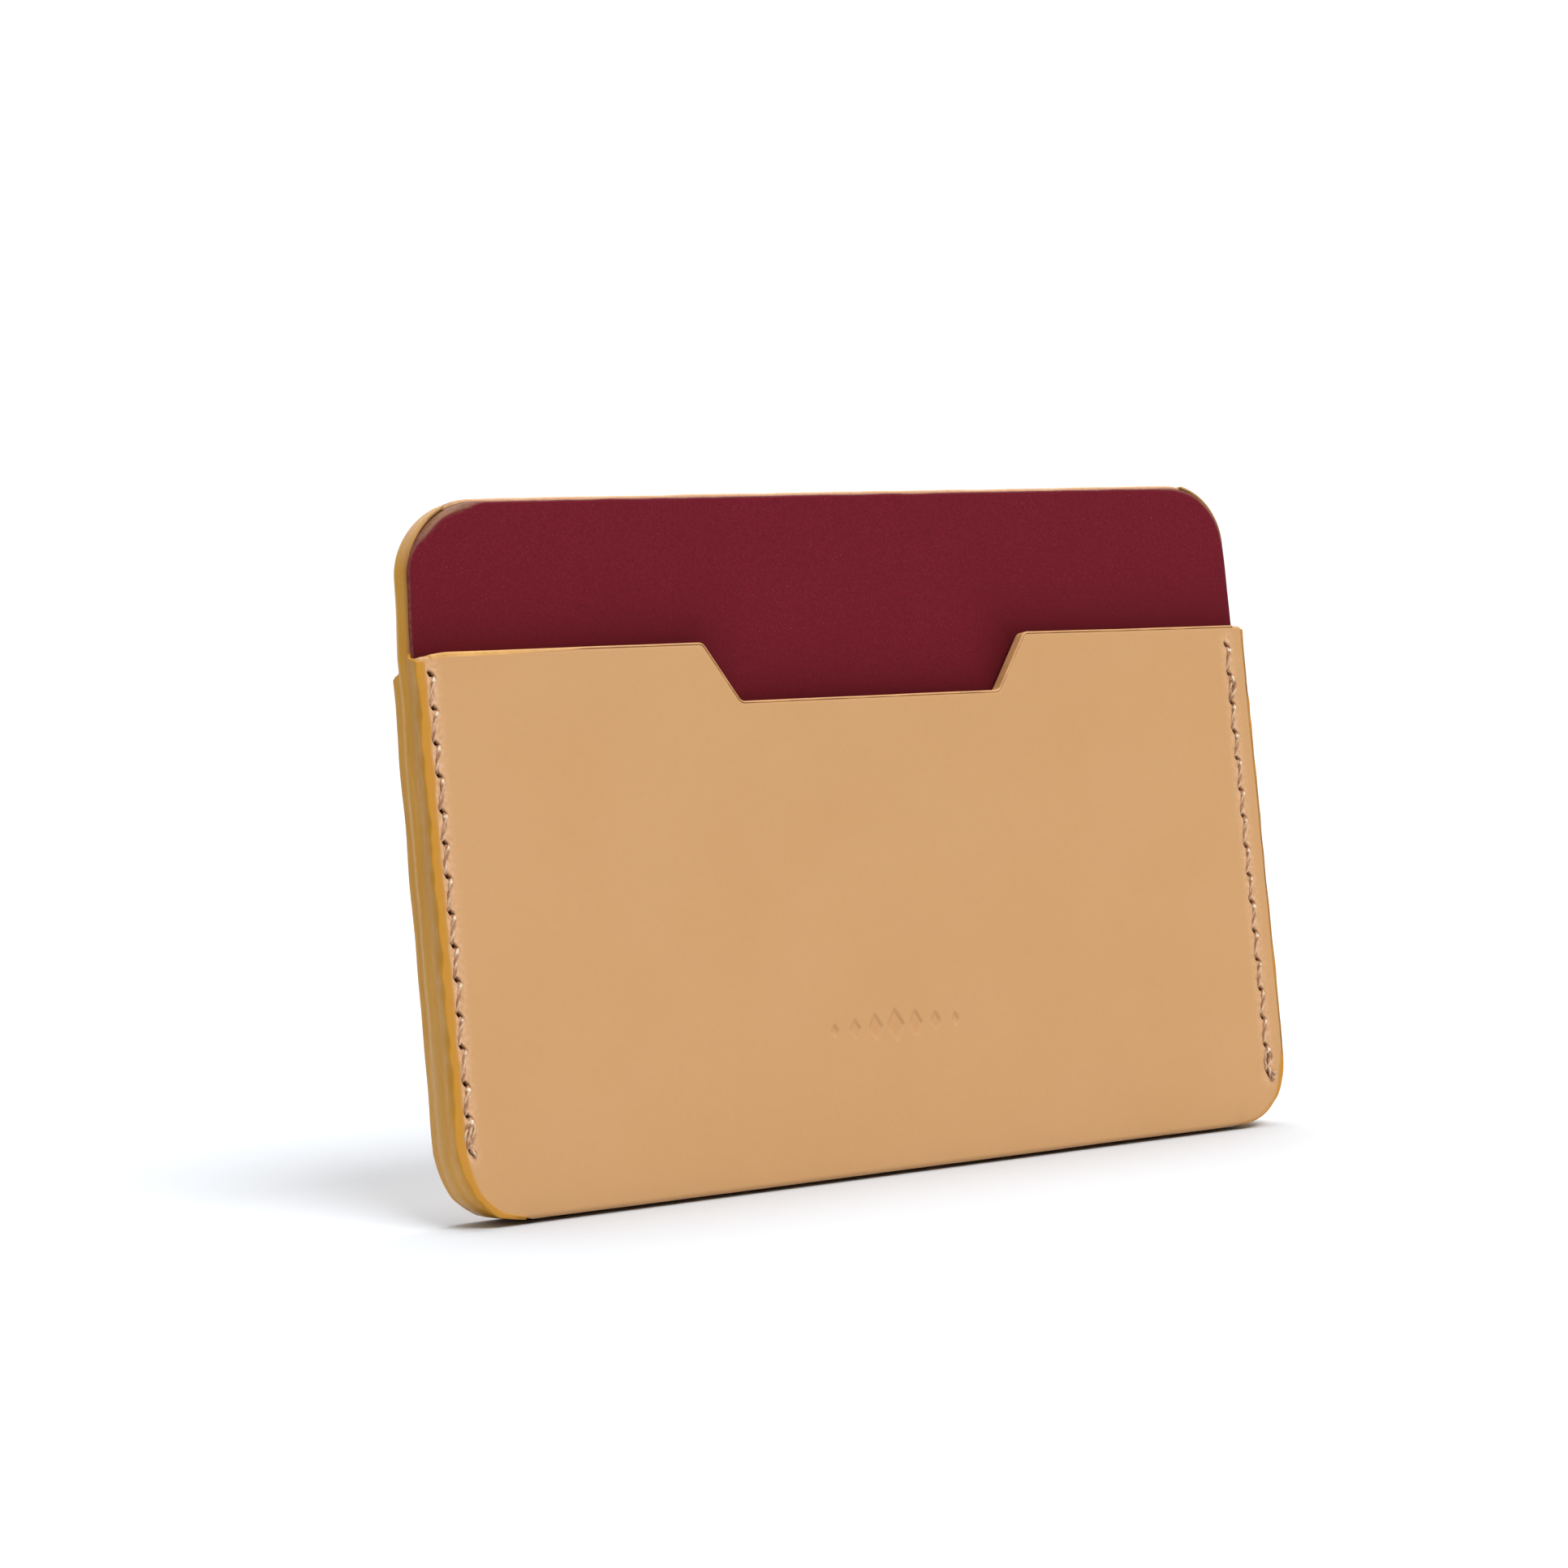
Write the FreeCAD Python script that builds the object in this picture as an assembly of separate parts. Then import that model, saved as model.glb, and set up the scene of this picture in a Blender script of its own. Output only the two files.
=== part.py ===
import FreeCAD, Part
import math
import os

# Saddle-stitched leather card holder. Millimetres, +Z up, the front faces -Y.
# Origin: middle of the bounding box in X and Y, on the flat foot of the bottom fold.

V = FreeCAD.Vector

# Overall sizes
WIDTH = 102.0
HALF = WIDTH / 2
FRONT_H = 56.0            # front pocket wall, fold to mouth
BACK_H = 54.4             # back pocket wall, fold to mouth
LEFT, RIGHT = -1, 1
PANEL_H = {LEFT: 71.6, RIGHT: 72.6}           # centre panel's top edge, trimmed slightly out of square
PANEL_NARROWING = {LEFT: 0.7, RIGHT: 0.05}    # the panel's sides close in above the pockets
PANEL_R = {LEFT: 8.2, RIGHT: 6.8}             # top corners of the centre panel
BOTTOM_R = 7.2            # bottom corners of the whole stack
PANEL_RIM = 0.4           # rounding of the panel's free rims, front and back

# Leather thicknesses, front to back
SHELL_T = 1.5
LINING_T = 0.9
CORE_T = 2.1
STACK_T = 2 * SHELL_T + LINING_T + CORE_T
CREASE_R = 0.6            # the shell is creased tightly, front and back, round a flat foot

# The front pocket wall bows off the panel between the seams, most at the middle of its mouth
MOUTH_BOW = 1.0
BOW_REACH = HALF - 5.0    # half width of the bowed stretch
BOW_FOOT = 9.0            # height at which it starts
BOW_TOP = FRONT_H + 4.0   # the bowed sheet before its mouth is cut

# Depth positions
Y_FRONT = -2.49
Y_LINING = Y_FRONT + SHELL_T
Y_CORE = Y_LINING + LINING_T
Y_WALL = Y_CORE + CORE_T
Y_BACK = Y_FRONT + STACK_T
Y_MID = (Y_FRONT + Y_BACK) / 2

# Thumb notch in the front wall: a trapezoid with eased corners
NOTCH_X = 0.6
NOTCH_TOP = 40.0
NOTCH_BOTTOM = 32.0
NOTCH_DEPTH = 6.2
NOTCH_R = 0.8

# Edge paint
COAT = 0.2
MOUTH_COAT = 0.15         # rubbed thinner on the pocket mouths
MOUTH_COAT_HALF = HALF - 1.2
PAINT_BEHIND = 0.2        # above the pockets it starts this far behind the lining
BEVEL_X = 0.8             # bevel of the stack's rims, measured across the face
BEVEL_Y = 0.6             # and into the thickness
COAT_UP_PANEL = 66.8      # the coat fades out on the panel's top corner

# Saddle stitching
THREAD_R = 0.24
STRAND_X = 0.26           # the two strands share each hole, side by side and one higher
STRAND_Z = 0.2
HOLE_R = 0.36
GROOVE_R = 0.62           # half width of the groove that the back stitches lie in
GROOVE_D = 0.6
FRONT_PROUD = 0.03        # air under the front stitches
BACK_SUNK = 0.04          # and over the back ones, in their groove
DOUBLED_END = 0.9         # the doubled-back end stops this far below the second hole
LEFT_SEAM = {"x": -49.65, "first_z": 7.3, "pitch": 3.33, "count": 15}
RIGHT_SEAM = {"x": 48.65, "first_z": 5.3, "pitch": 3.23, "count": 16}

# Blind-debossed ornament low on the front wall: a row of lozenges
MARK_Z = 15.2
MARK_COUNT = 7
MARK_PITCH = 2.5
MARK_DEPTH = 0.2
MARK_HALF = 1.7           # half height of the middle lozenge
MARK_TAPER = 0.3          # each neighbour is smaller by this
MARK_SLIMNESS = 0.6       # width over height

TALL = 80.0               # taller than the object, for tools that cut right through


def outline(points, radii):
    """Closed XZ face through the points, each corner rounded by its radius."""
    n = len(points)
    trims = []
    for i in range(n):
        p = V(points[i][0], 0, points[i][1])
        before = V(points[i - 1][0], 0, points[i - 1][1]) - p
        after = V(points[(i + 1) % n][0], 0, points[(i + 1) % n][1]) - p
        before.normalize()
        after.normalize()
        if radii[i] == 0:
            trims.append((p, None, p))
            continue
        half = before.getAngle(after) / 2
        back = radii[i] / math.tan(half)
        middle = before + after
        middle.normalize()
        centre = p + middle * (radii[i] / math.sin(half))
        trims.append((p + before * back, centre - middle * radii[i], p + after * back))
    edges = []
    for i in range(n):
        start, mid, end = trims[i]
        if mid is not None:
            edges.append(Part.Arc(start, mid, end).toShape())
        following = trims[(i + 1) % n][0]
        if end.distanceToPoint(following) > 1e-6:
            edges.append(Part.makeLine(end, following))
    return Part.Face(Part.Wire(edges))


def slab(face, y0, y1):
    """The XZ face as a plate between two depths."""
    lifted = face.copy()
    lifted.translate(V(0, y0, 0))
    return lifted.extrude(V(0, y1 - y0, 0))


def block(x0, x1, y0, y1, z0, z1):
    return Part.makeBox(x1 - x0, y1 - y0, z1 - z0, V(x0, y0, z0))


def panel_outline(grow):
    """Outline of the full stack and of the centre panel that rises out of it."""
    side = HALF + grow
    points = [
        (-side, -grow),
        (side, -grow),
        (side, FRONT_H),
        (side - PANEL_NARROWING[RIGHT], PANEL_H[RIGHT] + grow),
        (-side + PANEL_NARROWING[LEFT], PANEL_H[LEFT] + grow),
        (-side, FRONT_H),
    ]
    low = BOTTOM_R + grow
    return outline(points, [low, low, 0, PANEL_R[RIGHT] + grow, PANEL_R[LEFT] + grow, 0])


def mouth_outline(grow):
    """Everything below the front pocket's mouth and thumb notch."""
    side = HALF + 5
    z_top = FRONT_H + grow
    slant = math.hypot(NOTCH_DEPTH, (NOTCH_TOP - NOTCH_BOTTOM) / 2) / NOTCH_DEPTH
    shift = grow * slant
    run = (NOTCH_TOP - NOTCH_BOTTOM) / 2 / NOTCH_DEPTH
    top_half = NOTCH_TOP / 2 - shift + run * grow
    low_half = NOTCH_BOTTOM / 2 - shift + run * grow
    z_low = FRONT_H - NOTCH_DEPTH + grow
    points = [
        (-side, -5),
        (side, -5),
        (side, z_top),
        (NOTCH_X + top_half, z_top),
        (NOTCH_X + low_half, z_low),
        (NOTCH_X - low_half, z_low),
        (NOTCH_X - top_half, z_top),
        (-side, z_top),
    ]
    eased = NOTCH_R + grow
    tight = NOTCH_R - grow
    return outline(points, [0, 0, 0, eased, tight, tight, eased, 0])


def bowed_wall():
    """Front wall before its mouth is cut: flat at the seams and low down, bowed in the middle."""
    across = [0, 0, 1, 1, 1, 0, 0]
    upward = [0, 0, 0.45, 1]
    peak = 1.5 * MOUTH_BOW    # the poles lie further out than the surface
    surface = Part.BezierSurface()
    surface.increase(len(across) - 1, len(upward) - 1)
    for i, a in enumerate(across):
        for j, b in enumerate(upward):
            x = -BOW_REACH + 2 * BOW_REACH * i / (len(across) - 1)
            z = BOW_FOOT + (BOW_TOP - BOW_FOOT) * j / (len(upward) - 1)
            surface.setPole(i + 1, j + 1, V(x, Y_FRONT - peak * a * b, z))
    middle = surface.toShape().extrude(V(0, SHELL_T, 0))
    low = block(-HALF - 1, HALF + 1, Y_FRONT, Y_LINING, SHELL_T, BOW_FOOT)
    left = block(-HALF - 1, -BOW_REACH, Y_FRONT, Y_LINING, BOW_FOOT, BOW_TOP)
    right = block(BOW_REACH, HALF + 1, Y_FRONT, Y_LINING, BOW_FOOT, BOW_TOP)
    return middle.fuse([low, left, right])


def creased_foot(reach, height):
    """Bar across the foot of the stack with both of its long lower edges creased."""
    bar = block(-reach, reach, Y_FRONT, Y_BACK, 0, height)
    creases = [edge for edge in bar.Edges if edge.BoundBox.XLength > reach and edge.BoundBox.ZMax < 1e-6]
    return bar.makeFillet(CREASE_R, creases)


def rim_wedge(side, y_rim, inward, grow):
    """Tool that bevels one rim of the stack: a straight run and a quarter turn at the corner."""
    reach = BEVEL_X
    depth = BEVEL_Y - 0.5 * grow
    x_rim = side * (HALF - reach)
    x_out = side * (HALF + grow)
    over = side * 2.0
    away = -inward * 2.0
    a = V(x_rim, y_rim, BOTTOM_R)
    b = V(x_out, y_rim + inward * depth, BOTTOM_R)
    c = V(x_out + over, y_rim + inward * depth, BOTTOM_R)
    d = V(x_out + over, y_rim + away, BOTTOM_R)
    e = V(x_rim, y_rim + away, BOTTOM_R)
    face = Part.Face(Part.makePolygon([a, b, c, d, e, a]))
    straight = face.extrude(V(0, 0, FRONT_H + 4 - BOTTOM_R))
    centre = V(side * (HALF - BOTTOM_R), 0, BOTTOM_R)
    turned = face.revolve(centre, V(0, side, 0), 90)
    return straight.fuse(turned)


def rim_wedges(grow):
    """The bevel tools of all four side rims."""
    tools = []
    for side in (LEFT, RIGHT):
        tools.append(rim_wedge(side, Y_FRONT, 1, grow))
        tools.append(rim_wedge(side, Y_BACK, -1, grow))
    return tools


def seam_heights(seam):
    return [seam["first_z"] + seam["pitch"] * i for i in range(seam["count"])]


def awl_holes(seam):
    """Slanted slits through the whole stack, one per stitch hole."""
    tools = []
    for z in seam_heights(seam):
        ends = []
        for sign in (-1, 1):
            at = V(seam["x"] + sign * STRAND_X, Y_FRONT - 3, z - sign * STRAND_Z)
            ends.append(Part.makeCylinder(HOLE_R, STACK_T + 6, at, V(0, 1, 0)))
        slope = math.degrees(math.atan2(STRAND_Z, STRAND_X))
        length = 2 * math.hypot(STRAND_X, STRAND_Z)
        bar = Part.makeBox(length, STACK_T + 6, 2 * HOLE_R, V(-length / 2, Y_FRONT - 3, -HOLE_R))
        bar.rotate(V(0, 0, 0), V(0, 1, 0), slope)
        bar.translate(V(seam["x"], 0, z))
        tools.append(bar.fuse(ends))
    return tools


def back_groove(seam):
    """Round-ended groove in the back wall that the back stitches are pulled into."""
    heights = seam_heights(seam)
    x = seam["x"]
    z0 = heights[0] - 0.5
    z1 = heights[-1] + 0.5
    y0 = Y_BACK - GROOVE_D
    bar = block(x - GROOVE_R, x + GROOVE_R, y0, Y_BACK + 1, z0, z1)
    low = Part.makeCylinder(GROOVE_R, GROOVE_D + 1, V(x, y0, z0), V(0, 1, 0))
    high = Part.makeCylinder(GROOVE_R, GROOVE_D + 1, V(x, y0, z1), V(0, 1, 0))
    return bar.fuse([low, high])


def ornament():
    """Tools that sink a row of lozenges, large in the middle and small at the ends."""
    tools = []
    for i in range(MARK_COUNT):
        step = i - (MARK_COUNT - 1) / 2
        half = MARK_HALF - MARK_TAPER * abs(step)
        wide = MARK_SLIMNESS * half
        x = MARK_PITCH * step
        points = [(x - wide, MARK_Z), (x, MARK_Z - half), (x + wide, MARK_Z), (x, MARK_Z + half)]
        face = outline(points, [0, 0, 0, 0])
        tools.append(slab(face, Y_FRONT - 1, Y_FRONT + MARK_DEPTH))
    return tools


def strand(x, corners):
    """Round thread along a square path in a plane of constant X, with rounded turns."""
    turn = THREAD_R + 0.04
    points = [V(x, y, z) for y, z in corners]
    edges = []
    start = points[0]
    for i in range(1, len(points) - 1):
        before = points[i - 1] - points[i]
        after = points[i + 1] - points[i]
        before.normalize()
        after.normalize()
        a = points[i] + before * turn
        b = points[i] + after * turn
        mid = points[i] + (before + after) * (turn * (1 - math.sqrt(0.5)))
        if start.distanceToPoint(a) > 1e-6:
            edges.append(Part.makeLine(start, a))
        edges.append(Part.Arc(a, mid, b).toShape())
        start = b
    edges.append(Part.makeLine(start, points[-1]))
    path = Part.Wire(edges)
    first = points[1] - points[0]
    ring = Part.Wire(Part.makeCircle(THREAD_R, points[0], first))
    return path.makePipeShell([ring], True, False)


def seam_thread(seam):
    """Both strands of one seam. They take turns on the front; one doubles back at the bottom."""
    front = Y_FRONT - THREAD_R - FRONT_PROUD
    back = Y_BACK - THREAD_R - BACK_SUNK
    heights = seam_heights(seam)
    strands = []
    for sign in (-1, 1):
        x = seam["x"] + sign * STRAND_X
        zs = [z - sign * STRAND_Z for z in heights]
        on_front = sign < 0
        level = front if on_front else back
        other = back if on_front else front
        corners = [(Y_MID, zs[-1]), (level, zs[-1])]
        for z in reversed(zs[:-1]):
            corners.append((level, z))
            level, other = other, level
            corners.append((level, z))
        if level == front:
            corners.append((front, zs[1] - DOUBLED_END))
        else:
            corners[-1] = (Y_MID, zs[0])
        strands.append(strand(x, corners))
    return Part.makeCompound(strands)


def edge_paint(side, stack, bevels):
    """Coat on one side of the stack. It wraps both rims, the bottom corner and the panel's edge."""
    grown = slab(panel_outline(COAT), Y_FRONT, Y_BACK)
    levels = [
        block(-HALF - 2, HALF + 2, Y_FRONT, Y_WALL, BACK_H, FRONT_H),
        block(-HALF - 2, HALF + 2, Y_CORE + PAINT_BEHIND, Y_WALL, FRONT_H, COAT_UP_PANEL),
    ]
    x0, x1 = sorted((side * (HALF - BOTTOM_R), side * (HALF + 2)))
    zone = block(x0, x1, Y_FRONT - 1, Y_BACK + 1, -1, TALL)
    coat = grown.common(creased_foot(HALF + 2, BACK_H).fuse(levels)).common(zone)
    coat = coat.cut(bevels)
    return coat.cut(stack)


def rounded_rim(ply, y_rim):
    """The ply with its free rim, above the pockets, rounded on one face."""
    rim = []
    for edge in ply.Edges:
        box = edge.BoundBox
        in_face = abs(box.YMin - y_rim) < 1e-6 and abs(box.YMax - y_rim) < 1e-6
        if in_face and box.ZMin > FRONT_H - 0.01:
            rim.append(edge)
    return ply.makeFillet(PANEL_RIM, rim)


def solid_of(shape):
    """The one solid of a result, without splinters."""
    clean = shape.removeSplitter()
    return max(clean.Solids, key=lambda s: s.Volume)


full = panel_outline(0)
stack_prism = slab(full, Y_FRONT - 5, Y_BACK)
wedges = rim_wedges(0)
holes = awl_holes(LEFT_SEAM) + awl_holes(RIGHT_SEAM)
grooves = [back_groove(LEFT_SEAM), back_groove(RIGHT_SEAM)]

# Outer shell: one strip of leather, front wall to fold to back wall
front_slab = bowed_wall()
below_mouth = slab(mouth_outline(0), Y_FRONT - 5, Y_LINING)
front_wall = front_slab.common(below_mouth)
back_wall = block(-HALF - 1, HALF + 1, Y_WALL, Y_BACK, SHELL_T, BACK_H)
foot = creased_foot(HALF + 1, SHELL_T)
shell_raw = front_wall.fuse([foot, back_wall]).common(stack_prism)
shell_edged = shell_raw.cut(wedges)
outer_shell = solid_of(shell_edged.cut(holes + grooves + ornament()))

# Centre panel: burgundy lining ply glued on the tan core ply
ply_bottom = SHELL_T + 0.2
above = block(-HALF - 1, HALF + 1, Y_FRONT - 1, Y_BACK + 1, ply_bottom, TALL)
lining_raw = slab(full, Y_LINING, Y_CORE).common(above)
core_raw = slab(full, Y_CORE, Y_WALL).common(above)
panel_lining = solid_of(rounded_rim(lining_raw, Y_LINING).cut(holes))
panel_core = solid_of(rounded_rim(core_raw, Y_WALL).cut(holes))

# Edge paint
whole_stack = [shell_edged, lining_raw, core_raw]
left_edge_paint = solid_of(edge_paint(LEFT, whole_stack, rim_wedges(COAT)))
right_edge_paint = solid_of(edge_paint(RIGHT, whole_stack, rim_wedges(COAT)))
mouth_band = slab(mouth_outline(MOUTH_COAT), Y_FRONT - 5, Y_LINING).cut(below_mouth)
mouth_zone = block(-MOUTH_COAT_HALF, MOUTH_COAT_HALF, Y_FRONT - 5, Y_BACK, FRONT_H - 10, TALL)
front_mouth_paint = solid_of(front_slab.common(mouth_band).common(mouth_zone))
back_top = BACK_H + MOUTH_COAT
back_mouth_paint = block(-MOUTH_COAT_HALF, MOUTH_COAT_HALF, Y_WALL + 0.02, Y_BACK, BACK_H, back_top)

nodes = {
    "outer_shell": outer_shell,
    "panel_lining": panel_lining,
    "panel_core": panel_core,
    "left_seam_thread": seam_thread(LEFT_SEAM),
    "right_seam_thread": seam_thread(RIGHT_SEAM),
    "left_edge_paint": left_edge_paint,
    "right_edge_paint": right_edge_paint,
    "front_mouth_paint": front_mouth_paint,
    "back_mouth_paint": back_mouth_paint,
}

os.makedirs("parts", exist_ok=True)
whole = FreeCAD.BoundBox()
for name, shape in nodes.items():
    box = shape.BoundBox
    whole.add(box)
    print(name, len(shape.Solids), shape.isValid(), round(shape.Volume, 2), box)
    shape.exportStep("parts/" + name + ".step")
print("whole", whole)
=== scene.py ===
import math
import random

import bpy
import numpy as np
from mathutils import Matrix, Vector, geometry, kdtree, noise


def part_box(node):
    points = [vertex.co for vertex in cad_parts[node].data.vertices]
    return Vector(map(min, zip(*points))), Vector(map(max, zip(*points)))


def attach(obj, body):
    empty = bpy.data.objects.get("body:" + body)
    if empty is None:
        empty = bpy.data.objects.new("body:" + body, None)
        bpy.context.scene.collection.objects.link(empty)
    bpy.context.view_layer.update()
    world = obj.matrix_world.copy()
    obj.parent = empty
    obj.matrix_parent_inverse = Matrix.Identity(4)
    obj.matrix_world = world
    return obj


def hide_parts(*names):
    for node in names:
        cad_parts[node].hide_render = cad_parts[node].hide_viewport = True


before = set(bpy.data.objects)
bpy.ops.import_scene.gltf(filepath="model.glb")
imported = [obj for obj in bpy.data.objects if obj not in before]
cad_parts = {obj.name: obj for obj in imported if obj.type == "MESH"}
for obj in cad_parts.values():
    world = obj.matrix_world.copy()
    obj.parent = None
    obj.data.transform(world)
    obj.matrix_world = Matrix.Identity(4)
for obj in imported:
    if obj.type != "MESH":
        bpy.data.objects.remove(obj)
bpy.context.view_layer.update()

# The looks of a saddle-stitched leather card holder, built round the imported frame.
# Lengths are in millimetres, and become metres when a mesh is made. The front faces -Y.

MM = 0.001

# ---------------------------------------------------------------- dimensions


def box_mm(node):
    """Lowest and highest corner of a CAD node, in millimetres."""
    low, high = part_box(node)
    return low / MM, high / MM


shell_high = box_mm("outer_shell")[1]
lining_low = box_mm("panel_lining")[0]
core_low, core_high = box_mm("panel_core")

# Planes of the stack, front to back
SHELL_T = shell_high.y - core_high.y
Y_LINING = lining_low.y
Y_CORE = core_low.y
Y_WALL = core_high.y
Y_BACK = shell_high.y
Y_FRONT = Y_LINING - SHELL_T
Y_MID = (Y_FRONT + Y_BACK) / 2
STACK_HALF = (Y_BACK - Y_FRONT) / 2
CREASE_R = 0.6              # the shell is creased tightly, front and back, round a flat foot

# Outlines
HALF = shell_high.x
FRONT_H = shell_high.z
BACK_H = FRONT_H - 1.6
LEFT, RIGHT = -1, 1
BOTTOM_R = 7.2
CORNER_CUTS = (0, 38, 64, 90)      # degrees round a bottom corner where the hand-cut outline turns
CUT_SHARE = {LEFT: 0.35, RIGHT: 0.2}      # 0 is a true arc, 1 is straight cuts
PANEL_R = {LEFT: 8.2, RIGHT: 6.8}
PANEL_H = {LEFT: 71.6, RIGHT: 72.6}
PANEL_NARROWING = {LEFT: 0.7, RIGHT: 0.05}
PANEL_FOOT = core_low.z
PANEL_TOP = core_high.z
NOTCH_X = 0.6
NOTCH_TOP = 40.0
NOTCH_BOTTOM = 32.0
NOTCH_DEPTH = 6.2
NOTCH_R = 0.8
MOUTH_BOW = 1.0
BOW_REACH = HALF - 5.0      # half width of the bowed stretch of the front wall
BOW_FOOT = 9.0              # height at which the bow starts
BOW_TOP = FRONT_H + 4.0     # the bowed sheet before its mouth is cut
WORN_X = -47.5              # the front mouth dips from here to its worn left corner
WORN_WIDE = 3.5
WORN_DROP = 0.35

# Rims, paint and ornament
RIM = 0.38                  # rounding of the shell's cut edges
INNER_RIM = 0.25            # and of every ply's edges on its inner face
COAT = 0.2                  # edge paint on the sides
MOUTH_COAT = 0.15           # edge paint on the mouths
MOUTH_COAT_HALF = HALF - 0.9      # half the length of a mouth's paint
SHADE_REACH = 3.6           # how far the lining's painted shade reaches above the front mouth
STRIP = 0.85                # how far the left side's paint laps onto the faces
RIGHT_STRIP = 0.24          # and the right side's
PANEL_LAP = 0.32            # and how far it laps onto the lining's rounded rim
PAINT_REACH = 5.2           # how far round the panel's corners the paint fades out
PAINT_BEHIND = 0.45         # how far behind the lining's face the panel's paint starts
MARK_Z = 15.2
MARK_COUNT = 7
MARK_PITCH = 2.5
MARK_HALF = 1.7             # half height of the middle lozenge
MARK_TAPER = 0.3            # each neighbour is smaller by this
MARK_SLIMNESS = 0.6         # width over height
MARK_DEPTH = 0.2

# Saddle stitching
THREAD_R = 0.235
HAIR_R = 0.018
LEFT_SEAM = {"x": -49.65, "first_z": 7.3, "pitch": 3.33, "count": 15, "seed": 3}
RIGHT_SEAM = {"x": 48.65, "first_z": 5.3, "pitch": 3.23, "count": 16, "seed": 8}
SLIT_LEAN = math.radians(40)      # the awl's slits lean from upper left to lower right
SLIT_HALF = 0.52
SLIT_WIDE = 0.19
SLIT_DEEP = 0.8
SLIT = (math.sin(SLIT_LEAN), -math.cos(SLIT_LEAN))      # the direction down a slit, as (x, z)

FOOT_HALF = STACK_HALF - CREASE_R                   # unrolled, from the middle of the foot to a crease
CREASE_END = FOOT_HALF + math.pi * CREASE_R / 2     # and to the start of the wall


# ---------------------------------------------------------------- small tools


def smooth(t):
    t = np.clip(t, 0, 1)
    return t * t * (3 - 2 * t)


def bell(t, centre, wide):
    """1 at the centre, falling away smoothly over the width."""
    return np.exp(-(((t - centre) / wide) ** 2))


def field(x, z, size, seed):
    """Smooth noise of about -1 to 1 at each point, with features of about the given size."""
    points = np.column_stack([np.ravel(x) / size, np.ravel(z) / size])
    values = [noise.noise(Vector((a, b, seed * 3.7 + 0.31))) for a, b in points]
    return np.array(values).reshape(np.shape(x)) * 1.6


def bezier_weights(t, heights):
    """Bernstein sum of the heights at each t from 0 to 1."""
    n = len(heights) - 1
    total = np.zeros_like(t)
    for i, height in enumerate(heights):
        total += height * math.comb(n, i) * t**i * (1 - t) ** (n - i)
    return total


def bow(x, z):
    """How far the front wall stands off the panel, as the CAD's surface does."""
    u = (x + BOW_REACH) / (2 * BOW_REACH)
    v = (z - BOW_FOOT) / (BOW_TOP - BOW_FOOT)
    inside = (u > 0) & (u < 1) & (v > 0)
    across = bezier_weights(np.clip(u, 0, 1), (0, 0, 1, 1, 1, 0, 0))
    upward = bezier_weights(np.clip(v, 0, 1), (0, 0, 0.45, 1))
    return np.where(inside, 1.5 * MOUTH_BOW * across * upward, 0.0)


def rounded(points, radii, step=0.35):
    """Closed polyline through the points, each corner rounded, in even short steps."""
    count = len(points)
    corners = []
    for i in range(count):
        p = np.array(points[i], float)
        before = np.array(points[i - 1], float) - p
        after = np.array(points[(i + 1) % count], float) - p
        before /= np.linalg.norm(before)
        after /= np.linalg.norm(after)
        if radii[i] == 0:
            corners.append([p])
            continue
        half = math.acos(float(np.clip(before @ after, -1, 1))) / 2
        back = radii[i] / math.tan(half)
        middle = (before + after) / np.linalg.norm(before + after)
        centre = p + middle * radii[i] / math.sin(half)
        start = p + before * back - centre
        end = p + after * back - centre
        turn = math.pi - 2 * half
        steps = max(4, int(turn * radii[i] / step) + 1)
        arc = []
        for k in range(steps + 1):
            t = k / steps
            a = math.sin((1 - t) * turn) / math.sin(turn)
            b = math.sin(t * turn) / math.sin(turn)
            arc.append(centre + start * a + end * b)
        corners.append(arc)
    line = []
    for i in range(count):
        line.extend(corners[i])
        line.extend(between(corners[i][-1], corners[(i + 1) % count][0], step))
    return np.array(line)


def between(a, b, step):
    """Evenly spaced points strictly between a and b."""
    parts = max(1, int(np.linalg.norm(b - a) / step))
    return [a + (b - a) * k / parts for k in range(1, parts)]


def loop_normals(loop):
    """Outward normals of a counter-clockwise loop."""
    along = np.roll(loop, -1, axis=0) - np.roll(loop, 1, axis=0)
    along /= np.linalg.norm(along, axis=1)[:, None]
    return np.column_stack([along[:, 1], -along[:, 0]])


def edge_distance(points, loop):
    """Distance from each point to the closed loop, whose points lie close together."""
    tree = kdtree.KDTree(len(loop))
    for i, (x, z) in enumerate(loop):
        tree.insert((x, z, 0), i)
    tree.balance()
    nearest = np.array([tree.find((x, z, 0))[1] for x, z in points])
    gaps = []
    for start in (nearest, nearest - 1):
        a = loop[start]
        d = loop[(start + 1) % len(loop)] - a
        t = np.clip(((points - a) * d).sum(1) / (d**2).sum(1), 0, 1)
        gaps.append(np.linalg.norm(points - a - d * t[:, None], axis=1))
    return np.minimum(*gaps)


def inside_loop(points, loop):
    """Which points lie inside the closed loop."""
    inside = np.zeros(len(points), bool)
    for (x0, y0), (x1, y1) in zip(loop, np.roll(loop, -1, axis=0)):
        if y0 == y1:
            continue
        crosses = (y0 > points[:, 1]) != (y1 > points[:, 1])
        reach = (x1 - x0) * (points[:, 1] - y0) / (y1 - y0) + x0
        inside ^= crosses & (points[:, 0] < reach)
    return inside


def hex_grid(x0, x1, y0, y1, step, dice):
    """Slightly loosened hexagonal grid of points."""
    rows = []
    row_step = step * math.sqrt(3) / 2
    for j in range(int((y1 - y0) / row_step) + 1):
        xs = np.arange(x0 + (j % 2) * step / 2, x1, step)
        rows.append(np.column_stack([xs, np.full(len(xs), y0 + j * row_step)]))
    grid = np.vstack(rows)
    return grid + dice.uniform(-0.12, 0.12, grid.shape) * step


# ---------------------------------------------------------------- meshes


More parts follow.
